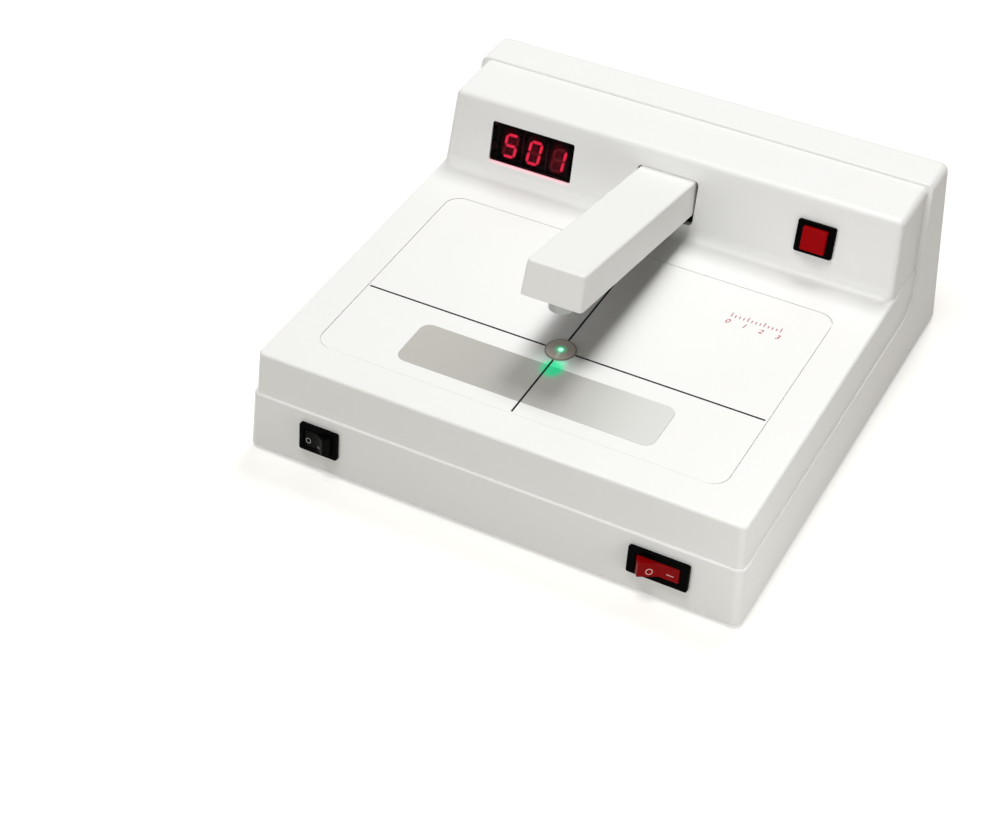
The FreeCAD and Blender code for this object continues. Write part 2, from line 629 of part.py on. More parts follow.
def smaller(pair, gap):
    return f"({pair[0]}) + {gap}", f"({pair[1]}) - {gap}"


SHEET_X = both_sides(SHEET_HALF)
SHEET_Y = ("sheet_front_setback", "base_depth - sheet_back_inset")
WINDOW_X = both_sides("window_width / 2")
node("overlay_sheet", cut(
    plate(SHEET_X, SHEET_Y, SHEET_Z, "sheet_corner"),
    plate(WINDOW_X, WINDOW_Y, (f"{SHEET_Z[0]} - wall", f"{SHEET_Z[1]} + wall"), "window_corner"),
    rod("0", "cross_setback", f"{SHEET_Z[0]} - wall", "spigot_diameter + 2 * fit_gap",
        "sheet_gauge + 2 * wall")))
node("viewing_window", plate(smaller(WINDOW_X, "fit_gap"), smaller(WINDOW_Y, "fit_gap"), SHEET_Z,
                             "window_corner - fit_gap"))

INK = ("deck_height", "deck_height + ink_gauge")
ACROSS = between("cross_setback", "ink_width")
ALONG = between("0", "ink_width")
DISC_EDGE = "disc_diameter / 2 + fit_gap"
SHEET_EDGE = f"{SHEET_HALF} - ink_width"
node("printed_lines", together(
    block((f"-({SHEET_EDGE})", f"-({DISC_EDGE})"), ACROSS, INK), block((DISC_EDGE, SHEET_EDGE), ACROSS, INK),
    block(ALONG, ("sheet_front_setback + ink_width", f"cross_setback - ({DISC_EDGE})"), INK),
    block(ALONG, (f"cross_setback + {DISC_EDGE}", f"{SHEET_Y[1]} - ink_width"), INK)))

MARK_COUNT = 13
LONG_EVERY = 4
marks = []
for step in range(MARK_COUNT):
    middle = f"base_width / 2 - mark_inset + mark_pitch * {step - (MARK_COUNT - 1) // 2}"
    length = "mark_length" if step % LONG_EVERY == 0 else "mark_short_length"
    front = "base_depth - mark_back_inset"
    marks.append(block(between(middle, "mark_width"), (front, f"{front} + {length}"), INK))
node("deck_marks", together(*marks))

# Viewing light under the window.

BOX_X = both_sides("window_width / 2 + light_box_rim")
BOX_Y = ("window_front_setback - light_box_rim", "window_back_setback + light_box_rim")
BOX_TOP = "deck_height - wall - diffuser_gauge"
BOX_LOW = f"{BOX_TOP} - light_box_depth"
node("diffuser_plate", joined(
    plate(smaller(WINDOW_X, "fit_gap"), smaller(WINDOW_Y, "fit_gap"), (BOX_TOP, SHEET_Z[0]),
          "window_corner - fit_gap"),
    block(BOX_X, BOX_Y, (BOX_TOP, "deck_height - wall"))))
node("light_box", cut(block(BOX_X, BOX_Y, (BOX_LOW, BOX_TOP)),
                      block(smaller(BOX_X, "light_box_wall"), smaller(BOX_Y, "light_box_wall"),
                            (f"{BOX_LOW} + light_box_wall", f"{BOX_TOP} + wall"))))

WINDOW_MIDDLE = "(window_front_setback + window_back_setback) / 2"
STRIP_LOW = f"{BOX_LOW} + light_box_wall"
STRIP_TOP = f"{STRIP_LOW} + board_gauge"
node("strip_board", block(WINDOW_X, between(WINDOW_MIDDLE, "strip_board_depth"), (STRIP_LOW, STRIP_TOP)))
STRIP_COUNT = 8
node("strip_leds", together(*[
    block(between(f"window_width / {STRIP_COUNT} * {step - (STRIP_COUNT - 1) / 2}", "strip_led_size"),
          between(WINDOW_MIDDLE, "strip_led_size"), (STRIP_TOP, f"{STRIP_TOP} + strip_led_gauge"))
    for step in range(STRIP_COUNT)]))

# Measuring light under the nozzle.

DISC_TOP = "deck_height + disc_gauge"
SPIGOT_LOW = "deck_height - spigot_length"
LED_LOW = f"{SPIGOT_LOW} - led_length"


def on_cross(low, diameter, length):
    """A cylinder under or over the middle of the printed cross."""
    return rod("0", "cross_setback", low, diameter, length)


node("aperture_disc", cut(
    joined(on_cross("deck_height", "disc_diameter", "disc_gauge"),
           on_cross(SPIGOT_LOW, "spigot_diameter", "spigot_length")),
    on_cross(f"{SPIGOT_LOW} - wall", "aperture_diameter", "spigot_length + 2 * wall")))
node("aperture_lens", on_cross(f"{DISC_TOP} - aperture_gauge", "aperture_diameter", "aperture_gauge"))
node("light_pipe", on_cross(SPIGOT_LOW, "aperture_diameter", "spigot_length + disc_gauge - aperture_gauge"))
node("green_led", joined(on_cross(LED_LOW, "led_rim_diameter", "led_rim_height"),
                         on_cross(LED_LOW, "led_diameter", "led_length - led_diameter / 2"),
                         ball("0", "cross_setback", f"{SPIGOT_LOW} - led_diameter / 2", "led_diameter")))
node("led_board", block(between("0", "led_board_width"), between("cross_setback", "led_board_depth"),
                        (f"{LED_LOW} - board_gauge", LED_LOW)))
node("led_board_posts", together(*[
    rod(x, "cross_setback", LED_LOW, "led_post_diameter", f"deck_height - wall - ({LED_LOW})")
    for x in both_sides("led_board_width / 2 - led_post_diameter")]))

# Arm, drawn level and then turned up about its pin.

ARM_LOW = d.deck_height + d.disc_gauge + d.nozzle_gap + d.nozzle_length
ARM_TOP = ARM_LOW + d.arm_thickness
PLATE_TOP = ARM_LOW + d.arm_plate
ARM_SCREW_SETBACKS = (d.arm_front_screw_setback, d.pivot_setback - d.arm_back_screw_lead)
pivot = "(deck_height + pivot_rise)"
pivot_y = "(base_depth - pivot_inset)"
tip = f"{DISC_TOP} + nozzle_gap"
arm_low = f"{tip} + nozzle_length"
plate_top = f"{arm_low} + arm_plate"
flange_top = f"{plate_top} + nozzle_flange_gauge"
sensor_low = f"{flange_top} + photodiode_height"
arm_nose_low = "arm_front_setback - tan(arm_nose_draft) * arm_thickness"


def arm_block(inset, low, high, back, nose_round):
    """The arm's tapered box between two heights, at an inset from its outside."""
    wires = []
    for level in (low, high):
        share = (level - ARM_LOW) / d.arm_thickness
        half = (d.arm_bottom_width + (d.arm_top_width - d.arm_bottom_width) * share) / 2 - inset
        front = d.arm_front_setback - slope(d.arm_nose_draft) * (ARM_TOP - level) + inset
        wires.append(outline(half, front, back, level, nose_round, 0))
    return tapered(wires)


def make_arm_cover():
    back = d.pivot_setback + d.arm_tail
    outer = arm_block(0, ARM_LOW, ARM_TOP, back, d.arm_nose_round)
    outer = rounded(outer, d.arm_edge_round, lies_at(ARM_TOP))
    hollow = arm_block(d.arm_wall, ARM_LOW - d.arm_wall, ARM_TOP - d.arm_wall, back + d.arm_wall,
                       max(d.arm_nose_round - d.arm_wall, d.inner_corner_round))
    bosses = [upright(0, y, d.arm_boss_diameter, PLATE_TOP, ARM_TOP - d.arm_wall / 2)
              for y in ARM_SCREW_SETBACKS]
    bush_hole = Part.makeCylinder(d.bush_diameter / 2 + d.fit_gap, 2 * d.arm_bottom_width,
                                  ARM_PIN - Vector(d.arm_bottom_width, 0, 0), Vector(1, 0, 0))
    pilots = [upright(0, y, d.arm_screw_diameter, PLATE_TOP, PLATE_TOP + d.arm_screw_reach)
              for y in ARM_SCREW_SETBACKS]
    return outer.cut(hollow).fuse(bosses).cut([bush_hole] + pilots).removeSplitter()


node("arm_cover", shaped(make_arm_cover()), ARM)

arm_screw_spots = ("arm_front_screw_setback", f"{pivot_y} - arm_back_screw_lead")
sensor_back = "cross_setback - nozzle_flange / 2 + sensor_board_length"
arm_top = f"{arm_low} + arm_thickness"
sensor_posts = [rod(x, f"{sensor_back} - sensor_post_diameter", arm_low, "sensor_post_diameter",
                    f"{sensor_low} - ({arm_low})")
                for x in both_sides("(sensor_board_width - sensor_post_diameter) / 2")]
node("arm_base", cut(
    joined(block(both_sides("arm_bottom_width / 2 - arm_wall - 2 * fit_gap"),
                 (f"{arm_nose_low} + arm_wall + 4 * fit_gap", f"{pivot_y} + hub_back"),
                 (arm_low, plate_top)),
           *sensor_posts),
    on_cross(f"{arm_low} - wall", "nozzle_diameter", "arm_plate + 2 * wall"),
    *[rod("0", y, f"{arm_low} - wall", "arm_screw_diameter", "arm_plate + 2 * wall") for y in arm_screw_spots],
    *[rod("0", y, f"{arm_low} - wall", "arm_screw_head", "arm_screw_recess + wall") for y in arm_screw_spots]),
    ARM)
node("arm_screws", together(*[
    screw("0", y, arm_low, "arm_screw_head", "arm_screw_recess", "arm_screw_diameter",
          "arm_plate + arm_screw_reach")
    for y in arm_screw_spots]), ARM)


def make_nozzle():
    """A tube with a flange over the arm's plate and a rounded tip."""
    body = add("PartDesign::Body", "tube")
    for low, high, diameter in ((tip, plate_top, "nozzle_diameter"), (plate_top, flange_top, "nozzle_flange")):
        sketch = sketch_on(body, "XY_Plane")
        draw_circle(sketch, diameter)
        draw_circle(sketch, "nozzle_bore")
        shift(sketch, y="cross_setback", z=low)
        pad(body, sketch, f"({high}) - ({low})")
    low = d.deck_height + d.disc_gauge + d.nozzle_gap
    fillet(body, "nozzle_round",
           lambda edge: lies_at(low)(edge) and edge.BoundBox.XLength > (d.nozzle_bore + d.nozzle_diameter) / 2)
    return body


node("nozzle", make_nozzle(), ARM)
node("nozzle_lens", on_cross(f"{tip} + lens_recess", "nozzle_bore", "lens_gauge"), ARM)
node("photodiode", on_cross(flange_top, "photodiode_diameter", "photodiode_height"), ARM)
node("sensor_board", block(between("0", "sensor_board_width"),
                           ("cross_setback - nozzle_flange / 2", sensor_back),
                           (sensor_low, f"{sensor_low} + board_gauge")), ARM)


def on_pin(x, diameter, length):
    """A cylinder on the arm's pin, from x to the right."""
    return rod(x, pivot_y, pivot, diameter, length, "x")


def ring(x, diameter, length):
    return cut(on_pin(x, diameter, length), on_pin(f"{x} - fit_gap", "pin_diameter", f"{length} + 2 * fit_gap"))


bush_length = "(ear_gap - hub_width) / 2 - fit_gap"
ring_start = "ear_gap / 2 + ear_gauge + fit_gap"
pin_reach = f"({ring_start} + 2 * ring_gauge)"
node("pivot_block", cut(
    block(both_sides("hub_width / 2"), (f"{pivot_y} - hub_front", f"{pivot_y} + hub_back"),
          (plate_top, f"{arm_low} + arm_thickness - arm_wall")),
    on_pin("-hub_width", "pin_diameter", "2 * hub_width")), ARM)
node("hinge_pin", on_pin(f"-{pin_reach}", "pin_diameter", f"2 * {pin_reach}"), ARM)
node("hinge_bushes", together(ring("hub_width / 2", "bush_diameter", bush_length),
                              ring(f"-hub_width / 2 - ({bush_length})", "bush_diameter", bush_length)), ARM)
node("retaining_rings", together(ring(ring_start, "ring_diameter", "ring_gauge"),
                                 ring(f"-({ring_start} + ring_gauge)", "ring_diameter", "ring_gauge")), ARM)

# What carries the arm: a bracket under the deck, a stop under its tail and a spring over it.

BRACKET_Z = ("deck_height - wall - ear_gauge", "deck_height - wall")
PIN_BORE = "pin_diameter + 2 * pin_clearance"


def ear(x):
    return joined(block((x, f"{x} + ear_gauge"), between(pivot_y, "ear_width"), (BRACKET_Z[0], pivot)),
                  on_pin(x, "ear_width", "ear_gauge"))


bracket_front = f"{pivot_y} - bracket_lead"
bracket_spots = corners_of(both_sides("bracket_screw_center"), (
    f"{bracket_front} + bracket_screw_inset", f"{bracket_front} + bracket_screw_inset + bracket_screw_pitch"))
node("hinge_bracket", cut(
    joined(block(both_sides("ear_gap / 2 + ear_gauge"),
                 (bracket_front, f"{pivot_y} + bracket_tail"), BRACKET_Z),
           ear("ear_gap / 2"), ear("-ear_gap / 2 - ear_gauge")),
    on_pin("-ear_gap", PIN_BORE, "2 * ear_gap"),
    *[rod(x, y, f"{BRACKET_Z[0]} - wall", "screw_diameter", "ear_gauge + 2 * wall") for x, y in bracket_spots]))
node("bracket_screws", together(*[
    screw(x, y, f"{BRACKET_Z[0]} - screw_head_height", "screw_head", "screw_head_height", "screw_diameter",
          "screw_head_height + ear_gauge + bracket_screw_reach") for x, y in bracket_spots]))


def resting_arm_height(level, setback):
    """Height of a level plane of the arm when it rests turned up, at a setback from the pin."""
    return f"{pivot} + (({level}) - {pivot}) / cos(arm_rest_angle) - tan(arm_rest_angle) * ({setback})"


stop_top = f"{resting_arm_height(arm_low, 'stop_setback + stop_diameter / 2')} - soft_gap"
node("tail_stop", rod("0", f"{pivot_y} + stop_setback", BRACKET_Z[1], "stop_diameter",
                      f"{stop_top} - ({BRACKET_Z[1]})"))

spring_low = f"({resting_arm_height(arm_top, 'spring_setback - spring_diameter / 2')} + soft_gap)"
spring = coil("spring_diameter", "spring_wire", "spring_turns", spring_low,
              f"deck_height + riser_rise - wall - {spring_low}")
node("arm_spring", spring, Placement(Vector(0, d.pivot_setback + d.spring_setback, 0), Rotation()))

# Display, on the riser's face.

GLASS_BACK = "-display_recess - display_gauge"
DIGIT_FACE = f"{GLASS_BACK} - segment_gauge - fit_gap"
MODULE_BACK = f"{DIGIT_FACE} - module_depth"
BOARD_BACK = f"{MODULE_BACK} - board_gauge"
node("display_window", plate(both_sides("display_width / 2 - fit_gap"),
                             both_sides("display_tall / 2 - fit_gap"), (GLASS_BACK, "-display_recess"),
                             "display_corner - fit_gap"), DISPLAY)
LIT = ("afgcd", "abcdef", "bc")
STEPS = [number - (len(LIT) - 1) // 2 for number in range(len(LIT))]
node("display_modules", together(*[
    block(between(f"digit_offset + digit_pitch * {step}", "module_width"),
          between("-module_drop", "module_tall"), (MODULE_BACK, DIGIT_FACE)) for step in STEPS]), DISPLAY)

SEGMENT_PLACES = {
    "a": (0, 1, True), "b": (0.5, 0.5, False), "c": (0.5, -0.5, False), "d": (0, -1, True),
    "e": (-0.5, -0.5, False), "f": (-0.5, 0.5, False), "g": (0, 0, True),
}


def segment(letter, step):
    """One bar of a digit, slanted, on the digits' face."""
    right, up, level = SEGMENT_PLACES[letter]
    width, tall = d.digit_width - d.segment_width, d.digit_height - d.segment_width
    middle = Vector(right * width, up * tall / 2, 0)
    along, aside = (Vector(1, 0, 0), Vector(0, 1, 0)) if level else (Vector(0, 1, 0), Vector(1, 0, 0))
    reach = (width if level else tall / 2) / 2 - d.segment_gap
    half = d.segment_width / 2
    spots = [middle + along * reach, middle + along * (reach - half) + aside * half,
             middle - along * (reach - half) + aside * half, middle - along * reach,
             middle - along * (reach - half) - aside * half, middle + along * (reach - half) - aside * half]
    start = Vector(d.digit_offset + d.digit_pitch * step, -d.digit_drop, -DISPLAY_FACE)
    spots = [start + Vector(spot.x + slope(d.digit_slant) * spot.y, spot.y, 0) for spot in spots]
    return Part.Face(Part.makePolygon(spots + spots[:1])).extrude(Vector(0, 0, d.segment_gauge))


for label, lit in (("lit_segments", True), ("dim_segments", False)):
    bars = [segment(letter, step) for step, letters in zip(STEPS, LIT) for letter in SEGMENT_PLACES
            if (letter in letters) == lit]
    node(label, shaped(Part.makeCompound(bars)), DISPLAY)

display_spots = corners_of(both_sides("display_width / 2 + display_post_inset"),
                           both_sides("display_post_rise"))
node("display_board", cut(
    block(both_sides("display_width / 2 + display_post_inset + display_board_rim"),
          both_sides("display_post_rise + display_board_rim"), (BOARD_BACK, MODULE_BACK)),
    *[rod(x, y, f"{BOARD_BACK} - wall", "display_screw_diameter", "board_gauge + 2 * wall")
      for x, y in display_spots]), DISPLAY)
node("display_screws", together(*[
    screw(x, y, f"{BOARD_BACK} - display_screw_head_height", "display_screw_head", "display_screw_head_height",
          "display_screw_diameter", "display_screw_head_height + board_gauge + board_screw_reach")
    for x, y in display_spots]), DISPLAY)

# Push-button, on the riser's face.


def centered(width, tall, low, high):
    """A box about the middle of a wall's frame."""
    return block(both_sides(f"({width}) / 2"), both_sides(f"({tall}) / 2"), (low, high))


def centered_plate(width, tall, low, high, corner):
    return plate(both_sides(f"({width}) / 2"), both_sides(f"({tall}) / 2"), (low, high), corner)


def wider(sizes, gap):
    """Sizes with a gap or a wall all round."""
    return [f"{size} + 2 * ({gap})" for size in sizes]


BUTTON_SIZES = ("button_cap_width", "button_cap_tall")
node("button_housing", cut(
    joined(centered_plate("button_bezel_width", "button_bezel_tall", "0", "button_bezel_gauge",
                          "button_bezel_corner"),
           centered(*wider(BUTTON_SIZES, "button_gap + button_wall"), "-button_body_depth",
                    "button_bezel_gauge"),
           *[rod(x, "0", "-button_body_depth - terminal_length", "button_pin_diameter",
                 "terminal_length + wall") for x in both_sides("button_pin_pitch / 2")]),
    centered(*wider(BUTTON_SIZES, "button_gap"), "-button_cavity_depth", "button_bezel_gauge + wall")), BUTTON)
CAP_TOP = "button_bezel_gauge + button_proud"
CAP_LOW = f"{CAP_TOP} - button_cap_length"
node("button_cap", centered_plate(*BUTTON_SIZES, CAP_LOW, CAP_TOP, "button_cap_corner"), BUTTON)
node("button_spring", coil("button_spring_diameter", "spring_wire", "button_spring_turns",
                           "-button_cavity_depth", f"{CAP_LOW} + button_cavity_depth - soft_gap"), BUTTON)

# Rocker switches, on the front wall.


def make_paddle(switch):
    """Level, with its pin at the origin: two flats that meet in a shallow valley, and round ends."""
    corner = switch.corner()
    skirt = math.radians(d.rocker_skirt_angle)
    low = Vector(math.cos(skirt), 0, -math.sin(skirt)) * switch.reach
    right = [Vector(0, 0, corner.z - corner.x * slope(d.switch_tilt)), corner, Vector(switch.reach, 0, 0), low]
    left = [Vector(-spot.x, 0, spot.z) for spot in right]
    edges = [Part.LineSegment(right[0], right[1]).toShape(), Part.Arc(*right[1:]).toShape(),
             Part.LineSegment(low, left[3]).toShape(), Part.Arc(*left[:0:-1]).toShape(),
             Part.LineSegment(left[1], left[0]).toShape()]
    side = Part.Face(Part.Wire(edges))
    side.translate(Vector(0, -switch.paddle_half, 0))
    paddle = side.extrude(Vector(0, 2 * switch.paddle_half, 0))
    stub = switch.body_half[1] - d.fit_gap
    return paddle.fuse(Part.makeCylinder(d.rocker_stub / 2, 2 * stub, Vector(0, -stub, 0), Vector(0, 1, 0)))


terminals = []
for switch in SWITCHES:
    color = switch.color
    cavity = wider((f"2 * {color}_reach", f"{color}_paddle_tall"), "rocker_gap")
    box = wider(cavity, "switch_wall")
    node(f"{color}_switch_housing", cut(
        joined(centered_plate(f"{color}_bezel_width", f"{color}_bezel_tall", "0", "switch_bezel_gauge",
                              "switch_bezel_corner"),
               centered(*box, "-switch_body_depth", "switch_bezel_gauge")),
        centered(*cavity, "-switch_cavity_depth", "switch_bezel_gauge + wall"),
        rod("0", f"-({box[1]}) / 2", "-rocker_pivot_depth", "rocker_stub + 2 * pin_clearance", box[1], "y")),
        switch.frame)
    node(f"{color}_paddle", shaped(make_paddle(switch)), switch.frame.multiply(switch.rocking(-switch.tilt)))
    for x in both_sides(f"{color}_terminal_pitch / 2"):
        terminal = together(block(between(x, "terminal_gauge"), both_sides("terminal_width / 2"),
                                  ("-switch_body_depth - terminal_length", "-switch_body_depth")))
        terminal.Placement = switch.frame
        terminals.append(terminal)
node("switch_terminals", together(*terminals))

# Mains inlet, on the back wall.

MOUTH_SIZES = ("inlet_mouth_width", "inlet_mouth_tall")
INLET_FLOOR = "inlet_flange_gauge - inlet_depth"
inlet_screw_spots = both_sides("inlet_screw_pitch / 2")
node("inlet_body", cut(
    joined(centered_plate("inlet_flange_width", "inlet_flange_tall", "0", "inlet_flange_gauge",
                          "inlet_flange_corner"),
           centered(*wider(MOUTH_SIZES, "inlet_wall"), f"{INLET_FLOOR} - inlet_wall", "inlet_flange_gauge")),
    centered_plate(*MOUTH_SIZES, INLET_FLOOR, "inlet_flange_gauge + wall", "inlet_mouth_corner"),
    *[rod(x, "0", "-wall", "screw_diameter", "inlet_flange_gauge + 2 * wall") for x in inlet_screw_spots]),
    INLET)
pin_spots = [(x, "-inlet_earth_lift / 2") for x in both_sides("inlet_pin_pitch / 2")]
pin_spots.append(("0", "inlet_earth_lift / 2"))
node("inlet_pins", together(*[
    block(between(x, "inlet_pin_width"), between(y, "inlet_pin_tall"),
          (INLET_FLOOR, "inlet_flange_gauge - inlet_pin_recess")) for x, y in pin_spots]), INLET)
node("inlet_screws", together(*[
    joined(rod(x, "0", "inlet_flange_gauge", "screw_head", "inlet_screw_rise"),
           rod(x, "0", "inlet_flange_gauge - inlet_screw_length", "screw_diameter", "inlet_screw_length"))
    for x in inlet_screw_spots]), INLET)

# Transformer and main board, on the floor.

CORE_Y = between("transformer_setback", "transformer_depth")
WINDING = (between("transformer_center", "bobbin_width"),
           (f"{CORE_Y[0]} - bobbin_overhang", f"{CORE_Y[1]} + bobbin_overhang"),
           ("wall + bobbin_overhang", "wall + transformer_height - bobbin_overhang"))
node("transformer_core", cut(
    block(between("transformer_center", "transformer_width"), CORE_Y, ("wall", "wall + transformer_height")),
    block(*WINDING)))
node("transformer_winding", block(*WINDING))

MAIN_LOW = "wall + standoff_height"
MAIN_TOP = f"{MAIN_LOW} + board_gauge"
standoff_spots = corners_of(between("main_board_center", "main_board_width - 2 * standoff_inset"),
                            between("main_board_setback", "main_board_depth - 2 * standoff_inset"))
node("main_board", cut(
    block(between("main_board_center", "main_board_width"), between("main_board_setback", "main_board_depth"),
          (MAIN_LOW, MAIN_TOP)),
    *[rod(x, y, f"{MAIN_LOW} - wall", "board_screw_diameter", "board_gauge + 2 * wall")
      for x, y in standoff_spots]))
node("board_screws", together(*[
    joined(rod(x, y, MAIN_TOP, "board_screw_head", "board_screw_head_height"),
           rod(x, y, f"{MAIN_LOW} - board_screw_reach", "board_screw_diameter",
               "board_gauge + board_screw_reach"))
    for x, y in standoff_spots]))


def on_board(aside, back, width, depth, height):
    """A component on the board, off the board's middle."""
    return block(between(f"main_board_center + {aside}", width), between(f"main_board_setback + {back}", depth),
                 (MAIN_TOP, f"{MAIN_TOP} + {height}"))


node("board_parts", together(
    on_board("0", "chip_row", "chip_width", "chip_depth", "chip_height"),
    *[on_board(aside, "chip_row", "small_chip_width", "small_chip_depth", "chip_height")
      for aside in both_sides("small_chip_spread")],
    on_board("0", "(-power_row)", "heat_sink_width", "heat_sink_depth", "heat_sink_height"),
    *[rod(f"main_board_center + {aside}", "main_board_setback - power_row", MAIN_TOP, "can_diameter",
          "can_height") for aside in both_sides("can_spread")]))

# Check and write.

doc.recompute()
faults = [item.Name for item in doc.Objects if "Invalid" in item.State or "Error" in item.State]
for label, item in nodes.items():
    if item.Shape.isNull() or not item.Shape.isValid() or not item.Shape.Solids:
        faults.append(label)
if faults:
    raise RuntimeError(f"failed objects: {faults}")

os.makedirs("parts", exist_ok=True)
for label, item in nodes.items():
    item.Shape.exportStep(f"parts/{label}.step")
print(f"{len(nodes)} sub-parts written")
print("arm pin at", HOME.multVec(ARM_PIN))
print("push-button out along", BUTTON.Rotation.multVec(Vector(0, 0, 1)))
for switch in SWITCHES:
    print(switch.color, "paddle pin at", HOME.multiply(switch.frame).multVec(switch.rocking(0).Base),
          "along", switch.frame.Rotation.multVec(Vector(0, 1, 0)))
print("shift of the drawing", HOME.Base)
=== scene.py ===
import bpy
import bmesh
import json
import math
from mathutils import Matrix, Vector
from mathutils.bvhtree import BVHTree


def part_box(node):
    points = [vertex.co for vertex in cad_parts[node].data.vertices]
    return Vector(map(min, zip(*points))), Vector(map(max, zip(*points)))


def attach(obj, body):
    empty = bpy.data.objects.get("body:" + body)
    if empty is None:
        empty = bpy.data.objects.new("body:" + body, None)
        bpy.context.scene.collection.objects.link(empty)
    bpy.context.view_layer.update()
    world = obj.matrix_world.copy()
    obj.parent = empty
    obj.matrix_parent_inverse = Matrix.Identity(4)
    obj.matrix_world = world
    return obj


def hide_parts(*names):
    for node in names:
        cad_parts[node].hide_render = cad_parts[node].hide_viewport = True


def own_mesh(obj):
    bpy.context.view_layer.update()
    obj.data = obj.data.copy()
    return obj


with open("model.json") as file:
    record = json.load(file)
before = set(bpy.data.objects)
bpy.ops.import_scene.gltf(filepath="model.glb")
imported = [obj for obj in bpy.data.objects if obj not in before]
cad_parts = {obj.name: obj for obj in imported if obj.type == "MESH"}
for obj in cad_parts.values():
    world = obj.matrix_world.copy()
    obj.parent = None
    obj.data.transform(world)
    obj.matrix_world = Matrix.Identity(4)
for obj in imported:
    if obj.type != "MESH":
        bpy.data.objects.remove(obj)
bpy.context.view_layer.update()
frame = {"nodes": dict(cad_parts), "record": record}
nodes = frame["nodes"]
scene = bpy.context.scene
mm = 0.001
weldReach = 0.002 * mm
sharpAngle = math.radians(35.0)
bodyOfNode = {name: body for body, members in frame["record"]["behaviour"]["bodies"].items()
              for name in members}
slotOfNode = {entry["node"]: entry["material_slot"] for entry in frame["record"]["subparts"]}
joints = {joint["name"]: joint for joint in frame["record"]["behaviour"]["joints"]}
print("frame loaded:", len(nodes), "nodes")


# Places on the CAD, read from the frame

def middleOf(name):
    low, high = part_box(name)
    return (Vector(low) + Vector(high)) / 2


def wallTurn(outward):
    # X to the right, Y up the wall, Z out of it.
    up = outward.cross(Vector((1, 0, 0)))
    return Matrix((Vector((1, 0, 0)), up, outward)).transposed().to_4x4()


riserOut = -Vector(joints["button_press"]["axis"])
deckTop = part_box("overlay_sheet")[1][2]
crossSpot = middleOf("aperture_disc").xy
displayPlace = Matrix.Translation(middleOf("display_window")) @ wallTurn(riserOut)


# Shader helpers

def newMaterial(name):
    material = bpy.data.materials.new(name)
    material.use_nodes = True
    return material, material.node_tree


def shaderOf(tree):
    return next(node for node in tree.nodes if node.type == "BSDF_PRINCIPLED")


def plug(tree, source, socket):
    if isinstance(source, bpy.types.NodeSocket):
        tree.links.new(source, socket)
    else:
        socket.default_value = source


def addNode(tree, kind, settings=None, **inputs):
    node = tree.nodes.new(kind)
    for key, value in (settings or {}).items():
        setattr(node, key, value)
    for key, value in inputs.items():
        plug(tree, value, node.inputs[key.replace("_", " ")])
    return node


def calc(tree, operation, *sources):
    node = tree.nodes.new("ShaderNodeMath")
    node.operation = operation
    for number, source in enumerate(sources):
        plug(tree, source, node.inputs[number])
    return node.outputs[0]


def newGroup(name, inputs, outputs):
    tree = bpy.data.node_groups.new(name, "ShaderNodeTree")
    for label, kind, value in inputs:
        socket = tree.interface.new_socket(label, in_out="INPUT", socket_type=kind)
        socket.default_value = value
    for label, kind in outputs:
        tree.interface.new_socket(label, in_out="OUTPUT", socket_type=kind)
    return tree, tree.nodes.new("NodeGroupInput"), tree.nodes.new("NodeGroupOutput")


def useGroup(tree, group, **inputs):
    node = tree.nodes.new("ShaderNodeGroup")
    node.node_tree = group
    for key, value in inputs.items():
        plug(tree, value, node.inputs[key])
    return node


def makeGrainGroup():
    # Moulded grain: a height for the bump, and a faint mottling of colour and roughness.
    tree, given, result = newGroup(
        "mouldedGrain",
        [("GrainScale", "NodeSocketFloat", 2500.0), ("MottleScale", "NodeSocketFloat", 35.0),
         ("Mottle", "NodeSocketFloat", 0.03), ("Colour", "NodeSocketColor", (0.8, 0.8, 0.8, 1.0)),
         ("Roughness", "NodeSocketFloat", 0.5)],
        [("Height", "NodeSocketFloat"), ("Colour", "NodeSocketColor"), ("Roughness", "NodeSocketFloat")])
    place = tree.nodes.new("ShaderNodeTexCoord").outputs["Object"]
    fine = addNode(tree, "ShaderNodeTexNoise", Vector=place, Scale=given.outputs["GrainScale"], Detail=2.0,
                   Roughness=0.55)
    broad = addNode(tree, "ShaderNodeTexNoise", Vector=place, Scale=given.outputs["MottleScale"], Detail=3.0)
    # The mottling swings each way about one.
    swing = calc(tree, "SUBTRACT", broad.outputs["Fac"], 0.5)
    share = calc(tree, "MULTIPLY_ADD", swing, given.outputs["Mottle"], 1.0)
    tint = addNode(tree, "ShaderNodeVectorMath", {"operation": "SCALE"})
    plug(tree, given.outputs["Colour"], tint.inputs[0])
    plug(tree, share, tint.inputs["Scale"])
    plug(tree, fine.outputs["Fac"], result.inputs["Height"])
    plug(tree, tint.outputs[0], result.inputs["Colour"])
    plug(tree, calc(tree, "MULTIPLY", given.outputs["Roughness"], share), result.inputs["Roughness"])
    return tree


